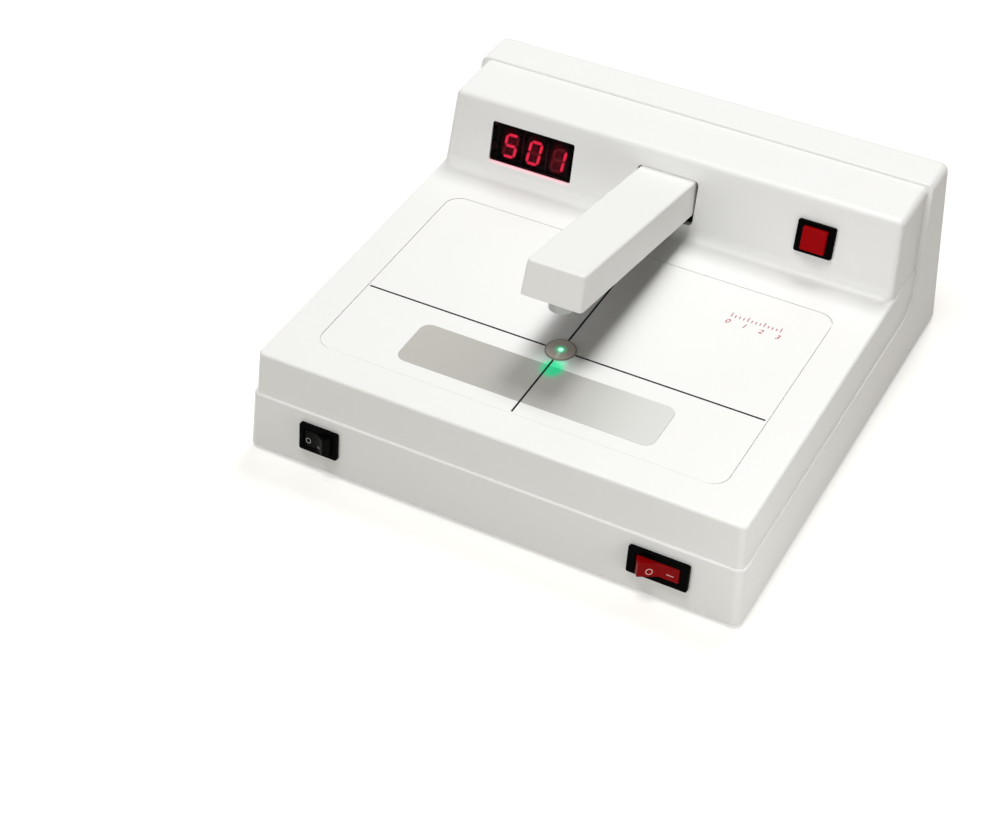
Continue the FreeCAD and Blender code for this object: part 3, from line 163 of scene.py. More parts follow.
def makeGlowGroup():
    # A soft spot: one in the middle of an ellipsoid, nought outside it.
    tree, given, result = newGroup(
        "softSpot",
        [("Centre", "NodeSocketVector", (0.0, 0.0, 0.0)), ("Reach", "NodeSocketVector", (0.01, 0.01, 0.01)),
         ("Core", "NodeSocketFloat", 0.2)],
        [("Mask", "NodeSocketFloat")])
    place = tree.nodes.new("ShaderNodeTexCoord").outputs["Object"]
    offset = addNode(tree, "ShaderNodeVectorMath", {"operation": "SUBTRACT"})
    plug(tree, place, offset.inputs[0])
    plug(tree, given.outputs["Centre"], offset.inputs[1])
    share = addNode(tree, "ShaderNodeVectorMath", {"operation": "DIVIDE"})
    plug(tree, offset.outputs[0], share.inputs[0])
    plug(tree, given.outputs["Reach"], share.inputs[1])
    distance = addNode(tree, "ShaderNodeVectorMath", {"operation": "LENGTH"})
    plug(tree, share.outputs[0], distance.inputs[0])
    fade = addNode(tree, "ShaderNodeMapRange", {"interpolation_type": "SMOOTHSTEP"})
    plug(tree, distance.outputs["Value"], fade.inputs["Value"])
    plug(tree, given.outputs["Core"], fade.inputs["From Min"])
    fade.inputs["From Max"].default_value = 1.0
    fade.inputs["To Min"].default_value = 1.0
    fade.inputs["To Max"].default_value = 0.0
    plug(tree, fade.outputs["Result"], result.inputs["Mask"])
    return tree


grainGroup = makeGrainGroup()
softSpot = makeGlowGroup()


def moulded(name, colour, roughness, grain=2500.0, depth=0.02, mottle=0.04, mottleScale=35.0, metal=0.0,
            coat=0.0, specular=0.5):
    # Plastic, rubber, paint or plain metal with its own grain.
    material, tree = newMaterial(name)
    shader = shaderOf(tree)
    group = useGroup(tree, grainGroup, GrainScale=grain, MottleScale=mottleScale, Mottle=mottle,
                     Colour=(*colour, 1.0), Roughness=roughness)
    bump = addNode(tree, "ShaderNodeBump", Strength=0.35, Distance=depth * mm, Height=group.outputs["Height"])
    plug(tree, group.outputs["Colour"], shader.inputs["Base Color"])
    plug(tree, group.outputs["Roughness"], shader.inputs["Roughness"])
    plug(tree, bump.outputs["Normal"], shader.inputs["Normal"])
    shader.inputs["Metallic"].default_value = metal
    shader.inputs["Coat Weight"].default_value = coat
    shader.inputs["Specular IOR Level"].default_value = specular
    return material


def lightUp(material, colour, strength):
    shader = shaderOf(material.node_tree)
    shader.inputs["Emission Color"].default_value = (*colour, 1.0)
    shader.inputs["Emission Strength"].default_value = strength
    return material


def mixColour(tree, share, first, second, blend="MIX"):
    node = tree.nodes.new("ShaderNodeMix")
    node.data_type = "RGBA"
    node.blend_type = blend
    ends = [socket for socket in node.inputs if socket.type == "RGBA"]
    for source, socket in ((share, node.inputs[0]), (first, ends[0]), (second, ends[1])):
        plug(tree, source, socket)
    return next(socket for socket in node.outputs if socket.type == "RGBA")


def addSpots(material, spots):
    # Soft spots of painted light on a surface: each has a centre, a reach, a core and a colour, and may also tint the
    # surface's own colour under it.
    tree = material.node_tree
    shader = shaderOf(tree)
    total = None
    for spot in spots:
        mask = useGroup(tree, softSpot, Centre=spot["centre"], Reach=spot["reach"], Core=spot["core"])
        if "baseTint" in spot:
            plain = shader.inputs["Base Color"].links[0].from_socket
            tinted = mixColour(tree, mask.outputs["Mask"], plain, (*spot["baseTint"], 1.0), "MULTIPLY")
            plug(tree, tinted, shader.inputs["Base Color"])
        tint = addNode(tree, "ShaderNodeVectorMath", {"operation": "SCALE"})
        tint.inputs[0].default_value = spot["colour"]
        plug(tree, mask.outputs["Mask"], tint.inputs["Scale"])
        if total is None:
            total = tint.outputs[0]
        else:
            both = addNode(tree, "ShaderNodeVectorMath", {"operation": "ADD"})
            plug(tree, total, both.inputs[0])
            plug(tree, tint.outputs[0], both.inputs[1])
            total = both.outputs[0]
    plug(tree, total, shader.inputs["Emission Color"])
    shader.inputs["Emission Strength"].default_value = 1.0
    return material


def clear(name, colour, roughness, ior=1.49):
    # Clear tinted plastic or glass.
    material, tree = newMaterial(name)
    shader = shaderOf(tree)
    group = useGroup(tree, grainGroup, GrainScale=300.0, MottleScale=60.0, Mottle=0.05, Colour=(*colour, 1.0),
                     Roughness=roughness)
    plug(tree, group.outputs["Colour"], shader.inputs["Base Color"])
    plug(tree, group.outputs["Roughness"], shader.inputs["Roughness"])
    shader.inputs["Transmission Weight"].default_value = 1.0
    shader.inputs["IOR"].default_value = ior
    return material


# Finishes, one for each material slot

# Painted light: green light from the lamp under the aperture, painted as glowing spots on the sheet and the window
# film, which also tint their colour green.
greenGlow = {"centre": (2.2 * mm, -58.7 * mm, deckTop), "reach": (7.2 * mm, 8.0 * mm, 4 * mm), "core": 0.4,
             "colour": (0.0, 0.29, 0.12), "baseTint": (0.09, 0.80, 0.42)}
paintedGreenEdge = {"centre": (4.4 * mm, -53.4 * mm, deckTop), "reach": (4.2 * mm, 3.6 * mm, 3 * mm), "core": 0.1,
             "colour": (0.10, 0.26, 0.18), "baseTint": (0.7, 1.0, 0.9)}
paintedGreenHaze = {"centre": (1.4 * mm, -56.5 * mm, deckTop), "reach": (14 * mm, 15 * mm, 5 * mm), "core": 0.1,
             "colour": (0.0, 0.05, 0.02), "baseTint": (0.88, 1.0, 0.95)}
# Painted light: red light from the digits, painted on the case's ledge below the display opening.
paintedDigitLight = [{"centre": tuple(displayPlace @ Vector((x * mm, -10.4 * mm, 0.9 * mm))),
             "reach": (8 * mm, 1.9 * mm, 1.8 * mm), "core": 0.0, "colour": (0.5, 0.02, 0.09)}
            for x in (-17, -8.5, 0, 8.5, 17)]
# Painted light: red halos round the digits and lit lines along the module edges, painted on the display body.
digitHalos = [{"centre": tuple(displayPlace @ Vector((x * mm, -0.8 * mm, -2.5 * mm))),
               "reach": (6.2 * mm, 6.8 * mm, 10.5 * mm), "core": 0.0, "colour": (0.34, 0.03, 0.06)}
              for x in (-12.2, 0.8, 13.8)]
paintedModuleEdges = [{"centre": tuple(displayPlace @ Vector((x * mm, -0.8 * mm, -2.5 * mm))),
                "reach": (0.45 * mm, 9.5 * mm, 10.5 * mm), "core": 0.2, "colour": (0.20, 0.04, 0.06)}
               for x in (-5.7, 7.3)]
lensSpot = Vector((*crossSpot, deckTop))
# Painted light: a green halo and a streak round the lens, painted on the disc.
lensHalo = {"centre": tuple(lensSpot), "reach": (3.9 * mm, 3.9 * mm, 3 * mm), "core": 0.2,
            "colour": (0.01, 0.36, 0.16), "baseTint": (0.5, 1.0, 0.8)}
paintedLensStreak = {"centre": tuple(lensSpot + Vector((0.6 * mm, -3.4 * mm, 0))), "reach": (1.2 * mm, 4.2 * mm, 3 * mm),
              "core": 0.1, "colour": (0.10, 0.19, 0.14)}
# The disc is paler inside its dark rim.
discFace = {"centre": tuple(lensSpot), "reach": (7.1 * mm, 7.1 * mm, 3 * mm), "core": 0.93,
            "colour": (0.0, 0.0, 0.0), "baseTint": (2.5, 2.5, 2.5)}

# Painted shade on the window film: darker to the left and in the middle than to the right.
filmPaintedShade = {"left": (0.50, 0.485, 0.45), "middle": (0.44, 0.43, 0.40), "right": (0.70, 0.71, 0.68), "reach": 63 * mm}


def paintedFilmShade(material, tone):
    # Painted shade: the film's colour is darker to the left of the nozzle than to the right, and darker still in the
    # middle, standing in for uneven light on it and the arm's shadow over it.
    tree = material.node_tree
    group = next(node for node in tree.nodes if node.type == "GROUP")
    place = tree.nodes.new("ShaderNodeTexCoord").outputs["Object"]
    split = tree.nodes.new("ShaderNodeSeparateXYZ")
    plug(tree, place, split.inputs[0])
    share = addNode(tree, "ShaderNodeMapRange", Value=split.outputs["X"])
    share.inputs["From Min"].default_value = -tone["reach"]
    share.inputs["From Max"].default_value = tone["reach"]
    ramp = tree.nodes.new("ShaderNodeValToRGB")
    ramp.color_ramp.interpolation = "EASE"
    ramp.color_ramp.elements[0].color = (*tone["left"], 1.0)
    ramp.color_ramp.elements[1].color = (*tone["right"], 1.0)
    ramp.color_ramp.elements.new(0.45).color = (*tone["middle"], 1.0)
    plug(tree, share.outputs["Result"], ramp.inputs["Fac"])
    plug(tree, ramp.outputs["Color"], group.inputs["Colour"])
    return material


caseTone = {"colour": (0.86, 0.86, 0.845), "roughness": 0.42, "grain": 1900.0, "depth": 0.03}
casePlastic = moulded("caseWhite", caseTone["colour"], caseTone["roughness"], caseTone["grain"], caseTone["depth"],
                      mottle=0.02)
finishes = {
    # Painted light on the case: red light from the digits on the display ledge.
    "case_plastic": addSpots(casePlastic, paintedDigitLight),
    "arm_plastic": moulded("armWhite", (0.86, 0.86, 0.84), 0.38, depth=0.015, mottle=0.02),
    # Painted light on the sheet and the window film: a green glow round the lens. The window film has painted shade
    # too.
    "sheet_film": addSpots(moulded("sheetFilm", (0.88, 0.88, 0.865), 0.3, 1200.0, 0.004, mottle=0.015),
                           [greenGlow, paintedGreenEdge, paintedGreenHaze]),
    "window_film": addSpots(paintedFilmShade(moulded("windowFilm", (0.6, 0.6, 0.56), 0.28, 1200.0, 0.004), filmPaintedShade),
                            [greenGlow, paintedGreenEdge, paintedGreenHaze]),
    "line_ink": moulded("lineInk", (0.004, 0.004, 0.0045), 0.5, depth=0.005, specular=0.08),
    "mark_ink": moulded("markInk", (0.42, 0.006, 0.014), 0.5, depth=0.005, specular=0.1),
    "diffuser": moulded("opal", (0.88, 0.88, 0.86), 0.3),
    "light_box": moulded("lightBoxWhite", (0.88, 0.88, 0.86), 0.5),
    "circuit_board": moulded("boardGreen", (0.03, 0.18, 0.07), 0.35, 900.0, 0.01, mottle=0.2),
    "board_component": moulded("componentBlack", (0.03, 0.03, 0.034), 0.45),
    "led_body": moulded("lampBody", (0.8, 0.8, 0.66), 0.3),
    "green_led": lightUp(moulded("greenLamp", (0.1, 0.6, 0.2), 0.15), (0.1, 1.0, 0.4), 1.0),
    # Painted light on the disc: a green halo and a streak round the lens.
    "disc": addSpots(moulded("discGrey", (0.25, 0.227, 0.2), 0.36, 700.0, 0.01, mottle=0.12, mottleScale=160.0),
                     [discFace, lensHalo, paintedLensStreak]),
    "aperture_lens": lightUp(moulded("lensGreen", (0.4, 0.95, 0.6), 0.1), (0.35, 1.0, 0.62), 1.2),
    "light_pipe": moulded("pipeClear", (0.7, 0.95, 0.75), 0.1),
    "post_plastic": moulded("postBlack", (0.03, 0.03, 0.03), 0.5),
    "nozzle_plastic": moulded("nozzleGrey", (0.55, 0.56, 0.55), 0.22, depth=0.005, coat=0.4),
    "lens_glass": clear("lensClear", (0.85, 0.9, 0.9), 0.05),
    "photodiode_can": moulded("canMetal", (0.6, 0.6, 0.56), 0.3, metal=1.0),
    "steel": moulded("screwSteel", (0.55, 0.55, 0.56), 0.3, 900.0, 0.01, metal=1.0),
    "ground_steel": moulded("groundSteel", (0.62, 0.62, 0.64), 0.2, metal=1.0),
    "spring_steel": moulded("springSteel", (0.45, 0.45, 0.47), 0.3, metal=1.0),
    "bracket_steel": moulded("bracketZinc", (0.56, 0.56, 0.52), 0.35, 300.0, 0.02, mottle=0.3, metal=1.0),
    "hub_metal": moulded("hubAluminium", (0.66, 0.67, 0.68), 0.35, metal=1.0),
    "bush_plastic": moulded("bushCream", (0.8, 0.78, 0.7), 0.45),
    "rubber": moulded("footRubber", (0.025, 0.025, 0.026), 0.75, 900.0, 0.05),
    "display_window": clear("displayRed", (0.22, 0.09, 0.11), 0.04, ior=1.1),
    # Painted light on the display body: red halos round the digits and lines along the module edges.
    "display_body": addSpots(moulded("displayBody", (0.003, 0.001, 0.001), 0.5, specular=0.05),
                             digitHalos + paintedModuleEdges),
    "lit_segment": lightUp(moulded("litSegment", (0.6, 0.03, 0.05), 0.4), (1.0, 0.07, 0.17), 3.3),
    "dim_segment": lightUp(moulded("dimSegment", (0.10, 0.02, 0.02), 0.4), (1.0, 0.12, 0.16), 0.36),
    "black_plastic": moulded("bezelBlack", (0.0012, 0.0012, 0.0012), 0.4, depth=0.015, specular=0.015),
    "button_red": moulded("buttonRed", (0.33, 0.0015, 0.003), 0.35, depth=0.008, specular=0.03),
    "rocker_black": moulded("rockerBlack", (0.0028, 0.003, 0.0025), 0.3, depth=0.01, specular=0.03),
    "rocker_red": moulded("rockerRed", (0.25, 0.002, 0.003), 0.22, depth=0.006, specular=0.05),
    "brass": moulded("brass", (0.7, 0.5, 0.22), 0.3, metal=1.0),
    "core_steel": moulded("coreSteel", (0.14, 0.14, 0.15), 0.5, metal=0.6),
    "winding": moulded("windingTape", (0.7, 0.5, 0.12), 0.45),
}
whiteInk = moulded("whiteInk", (0.62, 0.60, 0.58), 0.5, depth=0.004)
pinkInk = lightUp(moulded("pinkInk", (0.75, 0.42, 0.42), 0.5, depth=0.004), (1.0, 0.4, 0.4), 0.05)

for name, item in nodes.items():
    item.data.materials.clear()
    item.data.materials.append(finishes[slotOfNode[name]])
print("finishes set:", len(finishes))


# Piece helpers

def newPiece(name, mesh, body, finish, stands=()):
    mesh.name = name
    piece = bpy.data.objects.new(name, mesh)
    scene.collection.objects.link(piece)
    mesh.materials.clear()
    mesh.materials.append(finish)
    for face in mesh.polygons:
        face.material_index = 0
    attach(piece, body)
    if stands:
        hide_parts(*stands)
    return piece


def bakeModifiers(piece):
    bpy.context.view_layer.update()
    shape = bpy.data.meshes.new_from_object(piece.evaluated_get(bpy.context.evaluated_depsgraph_get()))
    piece.modifiers.clear()
    piece.data = shape


def bevelled(name, mesh, width, free):
    # Small rounds along the sharp edges, or along the marked ones, and normals led by the large faces.
    helper = bpy.data.objects.new(name, mesh)
    scene.collection.objects.link(helper)
    for face in mesh.polygons:
        face.use_smooth = True
    if width:
        bevel = helper.modifiers.new("edges", "BEVEL")
        bevel.width = width
        bevel.segments = 2
        bevel.limit_method = "WEIGHT" if free else "ANGLE"
        bevel.angle_limit = sharpAngle
        bevel.use_clamp_overlap = not free
    lean = helper.modifiers.new("normals", "WEIGHTED_NORMAL")
    lean.mode = "FACE_AREA"
    lean.weight = 100
    lean.keep_sharp = True
    bakeModifiers(helper)
    result = helper.data
    bpy.data.objects.remove(helper)
    return result


def markEdges(shape, rounded):
    # A free edge juts out and has nothing of its own piece in front of it or of its two faces. It is marked to
    # be rounded, and the other sharp edges stay crisp.
    hits = BVHTree.FromBMesh(shape)
    weight = shape.edges.layers.float.new("bevel_weight_edge")
    for edge in shape.edges:
        if len(edge.link_faces) != 2 or edge.calc_face_angle() < sharpAngle:
            continue
        sides = [face.normal for face in edge.link_faces]
        ahead = (sides[0] + sides[1]).normalized()
        start = (edge.verts[0].co + edge.verts[1].co) / 2 + ahead * 0.05 * mm
        if rounded and edge.is_convex and all(hits.ray_cast(start, way)[0] is None for way in (ahead, *sides)):
            edge[weight] = 1.0
        else:
            edge.smooth = False


def mergedCopy(name, width, free):
    # The node's loose triangles joined up, with flat faces made whole.
    shape = bmesh.new()
    shape.from_mesh(nodes[name].data)
    bmesh.ops.remove_doubles(shape, verts=shape.verts, dist=weldReach)
    bmesh.ops.dissolve_limit(shape, angle_limit=math.radians(0.2), verts=shape.verts, edges=shape.edges)
    if free or not width:
        markEdges(shape, free)
    mesh = bpy.data.meshes.new(name + "Merged")
    shape.to_mesh(mesh)
    shape.free()
    return mesh


def softened(nodeName, pieceName, width, free):
    mesh = bevelled(pieceName, mergedCopy(nodeName, width, free), width, free)
    return newPiece(pieceName, mesh, bodyOfNode[nodeName], finishes[slotOfNode[nodeName]],
                    [nodeName])


# Each has its piece's name, the width of its edges, and whether only its free edges are rounded.
softEdges = {
    "base_shell": ("caseBase", 0.6, True), "top_shell": ("caseTop", 0.0, False),
    "arm_cover": ("armCover", 0.3, True), "nozzle": ("nozzleTip", 0.12, False),
    "aperture_disc": ("apertureRing", 0.12, False), "button_housing": ("buttonBezel", 0.3, False),
    "button_cap": ("buttonCap", 0.35, False), "black_switch_housing": ("blackBezel", 0.2, True),
    "red_switch_housing": ("redBezel", 0.25, True), "black_paddle": ("blackPaddle", 0.3, False),
    "red_paddle": ("redPaddle", 0.3, False), "inlet_body": ("inletShell", 0.4, True),
    "overlay_sheet": ("deckSheet", 0.08, False),
}
for nodeName, (pieceName, width, free) in softEdges.items():
    softened(nodeName, pieceName, width * mm, free)
print("edges softened:", len(softEdges))


# Screws and feet, repeated by geometry nodes

# The shank starts this share of the head's height inside it.
shankOverlap = 0.2


def newRepeatTree(name, inputs):
    tree = bpy.data.node_groups.new(name, "GeometryNodeTree")
    tree.interface.new_socket("Spots", in_out="INPUT", socket_type="NodeSocketGeometry")
    for label, kind in inputs:
        tree.interface.new_socket(label, in_out="INPUT", socket_type=kind)
    tree.interface.new_socket("Result", in_out="OUTPUT", socket_type="NodeSocketGeometry")
    return tree, tree.nodes.new("NodeGroupInput"), tree.nodes.new("NodeGroupOutput")


def roundedDisc(tree, radius, depth, edge, steps):
    # A disc that stands on its own spot, with its top rim rounded over.
    disc = addNode(tree, "GeometryNodeMeshCylinder", {"fill_type": "NGON"}, Vertices=32, Side_Segments=steps,
                   Radius=radius, Depth=depth)
    spot = tree.nodes.new("GeometryNodeInputPosition").outputs[0]
    split = addNode(tree, "ShaderNodeSeparateXYZ")
    plug(tree, spot, split.inputs[0])
    half = calc(tree, "MULTIPLY", depth, 0.5)
    start = calc(tree, "SUBTRACT", half, edge)
    above = calc(tree, "SUBTRACT", split.outputs["Z"], start)
    climb = calc(tree, "MAXIMUM", calc(tree, "DIVIDE", above, edge), 0.0)
    left = calc(tree, "SUBTRACT", 1.0, calc(tree, "POWER", climb, 2.0))
    curve = calc(tree, "SQRT", calc(tree, "MAXIMUM", left, 0.0))
    draw = calc(tree, "MULTIPLY", calc(tree, "DIVIDE", edge, radius), calc(tree, "SUBTRACT", 1.0, curve))
    share = calc(tree, "SUBTRACT", 1.0, draw)
    moved = addNode(tree, "ShaderNodeCombineXYZ", X=calc(tree, "MULTIPLY", split.outputs["X"], share),
                    Y=calc(tree, "MULTIPLY", split.outputs["Y"], share),
                    Z=calc(tree, "ADD", split.outputs["Z"], half))
    placed = addNode(tree, "GeometryNodeSetPosition", Geometry=disc.outputs["Mesh"],
                     Position=moved.outputs[0])
    return placed.outputs[0]


def repeatAndFinish(tree, given, result, body):
    # One body on each spot, turned the same way, joined, shaded and painted.
    points = addNode(tree, "GeometryNodeMeshToPoints", Mesh=given.outputs["Spots"])
    turn = addNode(tree, "FunctionNodeEulerToRotation", Euler=given.outputs["Turn"])
    copies = addNode(tree, "GeometryNodeInstanceOnPoints", Points=points.outputs[0], Instance=body,
                     Rotation=turn.outputs[0])
    real = addNode(tree, "GeometryNodeRealizeInstances", Geometry=copies.outputs[0])
    bend = tree.nodes.new("GeometryNodeInputMeshEdgeAngle").outputs["Unsigned Angle"]
    sharp = addNode(tree, "FunctionNodeCompare", {"data_type": "FLOAT", "operation": "GREATER_THAN"})
    plug(tree, bend, sharp.inputs["A"])
    sharp.inputs["B"].default_value = math.radians(40)
    creased = addNode(tree, "GeometryNodeSetShadeSmooth", {"domain": "EDGE"}, Selection=sharp.outputs[0])
    creased.inputs["Shade Smooth"].default_value = False
    plug(tree, real.outputs[0], creased.inputs[0])
    painted = addNode(tree, "GeometryNodeSetMaterial", Geometry=creased.outputs[0], Material=given.outputs["Finish"])
    plug(tree, painted.outputs[0], result.inputs[0])


def makeFootTree():
    tree, given, result = newRepeatTree("rubberFeet", [
        ("Radius", "NodeSocketFloat"), ("Height", "NodeSocketFloat"), ("Edge", "NodeSocketFloat"),
        ("Turn", "NodeSocketVector"), ("Finish", "NodeSocketMaterial")])
    body = roundedDisc(tree, given.outputs["Radius"], given.outputs["Height"], given.outputs["Edge"], 8)
    repeatAndFinish(tree, given, result, body)
    return tree


def makeScrewTree():
    # A pan head with a cross recess, and its shank behind it.
    tree, given, result = newRepeatTree("crossScrews", [
        ("Radius", "NodeSocketFloat"), ("Height", "NodeSocketFloat"), ("Edge", "NodeSocketFloat"),
        ("ShankRadius", "NodeSocketFloat"), ("ShankLength", "NodeSocketFloat"),
        ("Turn", "NodeSocketVector"), ("Finish", "NodeSocketMaterial")])
    radius, height = given.outputs["Radius"], given.outputs["Height"]
    head = roundedDisc(tree, radius, height, given.outputs["Edge"], 10)
    slots = []
    for wide, tall in ((1.1, 0.3), (0.3, 1.1)):
        size = addNode(tree, "ShaderNodeCombineXYZ", X=calc(tree, "MULTIPLY", radius, wide),
                       Y=calc(tree, "MULTIPLY", radius, tall), Z=height)
        slot = addNode(tree, "GeometryNodeMeshCube", Size=size.outputs[0])
        lift = addNode(tree, "ShaderNodeCombineXYZ", Z=height)
        slots.append(addNode(tree, "GeometryNodeTransform", Geometry=slot.outputs["Mesh"],
                             Translation=lift.outputs[0]).outputs[0])
    cut = addNode(tree, "GeometryNodeMeshBoolean", {"operation": "DIFFERENCE", "solver": "EXACT"})
    plug(tree, head, cut.inputs[0])
    for slot in slots:
        tree.links.new(slot, cut.inputs[1])
    length = given.outputs["ShankLength"]
    shank = addNode(tree, "GeometryNodeMeshCylinder", {"fill_type": "NGON"}, Vertices=20,
                    Radius=given.outputs["ShankRadius"], Depth=length)
    drop = calc(tree, "SUBTRACT", calc(tree, "MULTIPLY", height, shankOverlap),
                calc(tree, "MULTIPLY", length, 0.5))
    down = addNode(tree, "ShaderNodeCombineXYZ", Z=drop)
    stem = addNode(tree, "GeometryNodeTransform", Geometry=shank.outputs["Mesh"], Translation=down.outputs[0])
    whole = addNode(tree, "GeometryNodeMeshBoolean", {"operation": "UNION", "solver": "EXACT"})
    for part in (cut.outputs[0], stem.outputs[0]):
        tree.links.new(part, whole.inputs[1])
    repeatAndFinish(tree, given, result, whole.outputs[0])
    return tree


def looseParts(name):
    # The lowest and highest corner of each separate solid of a node.
    shape = bmesh.new()
    shape.from_mesh(nodes[name].data)
    bmesh.ops.remove_doubles(shape, verts=shape.verts, dist=weldReach)
    left = set(shape.verts)
    parts = []
    while left:
        edge = [left.pop()]
        members = []
        while edge:
            here = edge.pop()
            members.append(here.co.copy())
            for link in here.link_edges:
                there = link.other_vert(here)
                if there in left:
                    left.remove(there)
                    edge.append(there)
        parts.append([Vector([pick(spot[axis] for spot in members) for axis in range(3)]) for pick in (min, max)])
    shape.free()
    return sorted(parts, key=lambda part: tuple(part[0]))


def repeatPiece(name, tree, spots, nodeName, turn, values):
    mesh = bpy.data.meshes.new(name + "Spots")
    mesh.from_pydata(spots, [], [])
    piece = bpy.data.objects.new(name, mesh)
    scene.collection.objects.link(piece)
    builder = piece.modifiers.new("repeat", "NODES")
    builder.node_group = tree
    slots = {item.name: item.identifier for item in tree.interface.items_tree if item.in_out == "INPUT"}
    finish = finishes[slotOfNode[nodeName]]
    for label, value in {**values, "Turn": turn, "Finish": finish}.items():
        builder[slots[label]] = value
    bakeModifiers(piece)
    mesh = piece.data
    bpy.data.objects.remove(piece)
    return newPiece(name, mesh, bodyOfNode[nodeName], finish, [nodeName])


half = math.pi / 2
repeats = {
    "feet": {"name": "rubberFeet", "tree": "foot", "axis": 2, "end": 0, "turn": (math.pi, 0.0, 0.0), "edge": 0.8},
    "case_screws": {"name": "caseScrewRow", "tree": "screw", "axis": 2, "end": 0, "turn": (math.pi, 0.0, 0.0),
                    "head": 2.0, "shank": 3.0, "edge": 0.9},
    "arm_screws": {"name": "armScrewPair", "tree": "screw", "axis": 2, "end": 0, "turn": (math.pi, 0.0, 0.0),
                   "head": 0.8, "shank": 2.5, "edge": 0.35},
    "inlet_screws": {"name": "inletScrewPair", "tree": "screw", "axis": 1, "end": 1, "turn": (-half, 0.0, 0.0),
                     "head": 1.0, "shank": 3.0, "edge": 0.6},
}
footTree = makeFootTree()
screwTree = makeScrewTree()


def makeRepeats(nodeName, setup):
    # The sizes come from the node's own solids: the head's width across, and the length along the axis.
    axis, across = setup["axis"], 0
    parts = looseParts(nodeName)
    low, high = parts[0]
    radius = (high[across] - low[across]) / 2
    length = high[axis] - low[axis]
    depth = length if setup["tree"] == "foot" else setup["head"] * mm
    spots = []
    for low, high in parts:
        spot = (low + high) / 2
        spot[axis] = high[axis] - depth if setup["end"] else low[axis] + depth
        spots.append(tuple(spot))
    values = {"Radius": radius, "Height": depth, "Edge": setup["edge"] * mm}
    if setup["tree"] == "screw":
        values.update(ShankRadius=setup["shank"] * mm / 2, ShankLength=length - depth * (1 - shankOverlap))
    tree = footTree if setup["tree"] == "foot" else screwTree
    repeatPiece(setup["name"], tree, spots, nodeName, setup["turn"], values)


for nodeName, setup in repeats.items():
    makeRepeats(nodeName, setup)
print("screws and feet made:", len(repeats))


# Springs, made as pieces from their nodes

springs = {
    "arm_spring": {"name": "armSpring", "joint": "arm_pivot", "axis": Vector((0, 0, -1)), "slack": 0.02},
    "button_spring": {"name": "buttonSpring", "joint": "button_press", "axis": riserOut, "slack": 0.02},
}


def makeSpring(nodeName, setup):
    mesh = bevelled(setup["name"], mergedCopy(nodeName, 0.0, False), 0.0, False)
    spring = newPiece(setup["name"], mesh, bodyOfNode[nodeName], finishes["spring_steel"], [nodeName])
    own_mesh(spring)


for nodeName, setup in springs.items():
    makeSpring(nodeName, setup)


# Marks on the rocker paddles and numbers on the deck

def flatRing(radius, width, sides=32):
    shape = bmesh.new()
    rings = [[shape.verts.new((math.cos(turn) * reach, math.sin(turn) * reach, 0))
              for turn in (2 * math.pi * step / sides for step in range(sides))]
             for reach in (radius - width / 2, radius + width / 2)]
    for step in range(sides):
        after = (step + 1) % sides
        shape.faces.new((rings[0][step], rings[1][step], rings[1][after], rings[0][after]))
    return shape


def flatBar(length, width):
    shape = bmesh.new()
    spots = [shape.verts.new((x * length / 2, y * width / 2, 0)) for x, y in ((-1, -1), (1, -1), (1, 1), (-1, 1))]
    shape.faces.new(spots)
    return shape


def thicken(shape, gauge):
    # A flat outline pulled up into a thin body.
    made = bmesh.ops.extrude_face_region(shape, geom=list(shape.faces))
    bmesh.ops.translate(shape, vec=(0, 0, gauge), verts=[item for item in made["geom"]
                                                          if isinstance(item, bmesh.types.BMVert)])
    bmesh.ops.recalc_face_normals(shape, faces=shape.faces)
    return shape


def finishShape(shape, name, place):
    shape.transform(place)
    mesh = bpy.data.meshes.new(name)
    shape.to_mesh(mesh)
    shape.free()
    return mesh


paddleMarks = {
    "red": {"body": "red_rocker", "joint": "red_rock", "tilt": 17.0, "side": -1, "ring": 1.4, "line": 0.38,
            "bar": 3.2, "ringSpot": 3.9, "barSpot": 5.0, "ringDrop": 0.9, "barDrop": 0.9, "ink": pinkInk},
    "black": {"body": "black_rocker", "joint": "black_rock", "tilt": 17.0, "side": 1, "ring": 1.2, "line": 0.24,
              "bar": 1.9, "ringSpot": 3.9, "barSpot": 2.6, "ringDrop": 1.1, "barDrop": 1.7, "ink": whiteInk},
}


def makePaddleMarks(colour, setup):
    pin = Vector(joints[setup["joint"]]["pos_m"])
    up = Vector(joints[setup["joint"]]["axis"])
    turn = Matrix((Vector((1, 0, 0)), up, Vector((1, 0, 0)).cross(up))).transposed().to_4x4()
    # The paddle rests tipped about its pin; its two flats rise from the valley to each side.
    tip = Matrix.Rotation(math.radians(-setup["side"] * setup["tilt"]), 4, "Y")
    face = 2.5 * mm * math.hypot(1, math.tan(math.radians(setup["tilt"])))
    for name, side, spot, drop in (("Ring", -1, setup["ringSpot"], setup["ringDrop"]),
                                   ("Bar", 1, setup["barSpot"], setup["barDrop"])):
        rise = Matrix.Rotation(math.radians(-side * setup["tilt"]), 4, "Y")
        lift = face + spot * mm * math.tan(math.radians(setup["tilt"])) + 0.02 * mm
        shift = Matrix.Translation((side * spot * mm, -drop * mm, lift))
        place = Matrix.Translation(pin) @ turn @ tip @ shift @ rise
        if name == "Ring":
            shape = flatRing(setup["ring"] * mm, setup["line"] * mm)
        else:
            shape = flatBar(setup["bar"] * mm, setup["line"] * mm)
        mesh = finishShape(thicken(shape, 0.05 * mm), colour + name, place)
        newPiece(colour + name, mesh, setup["body"], setup["ink"])


for colour, setup in paddleMarks.items():
    makePaddleMarks(colour, setup)

numbers = {"labels": ("0", "1", "2", "3"), "size": 4.2 * mm, "slant": 14.0, "gauge": 0.05 * mm, "drop": 1.6 * mm}


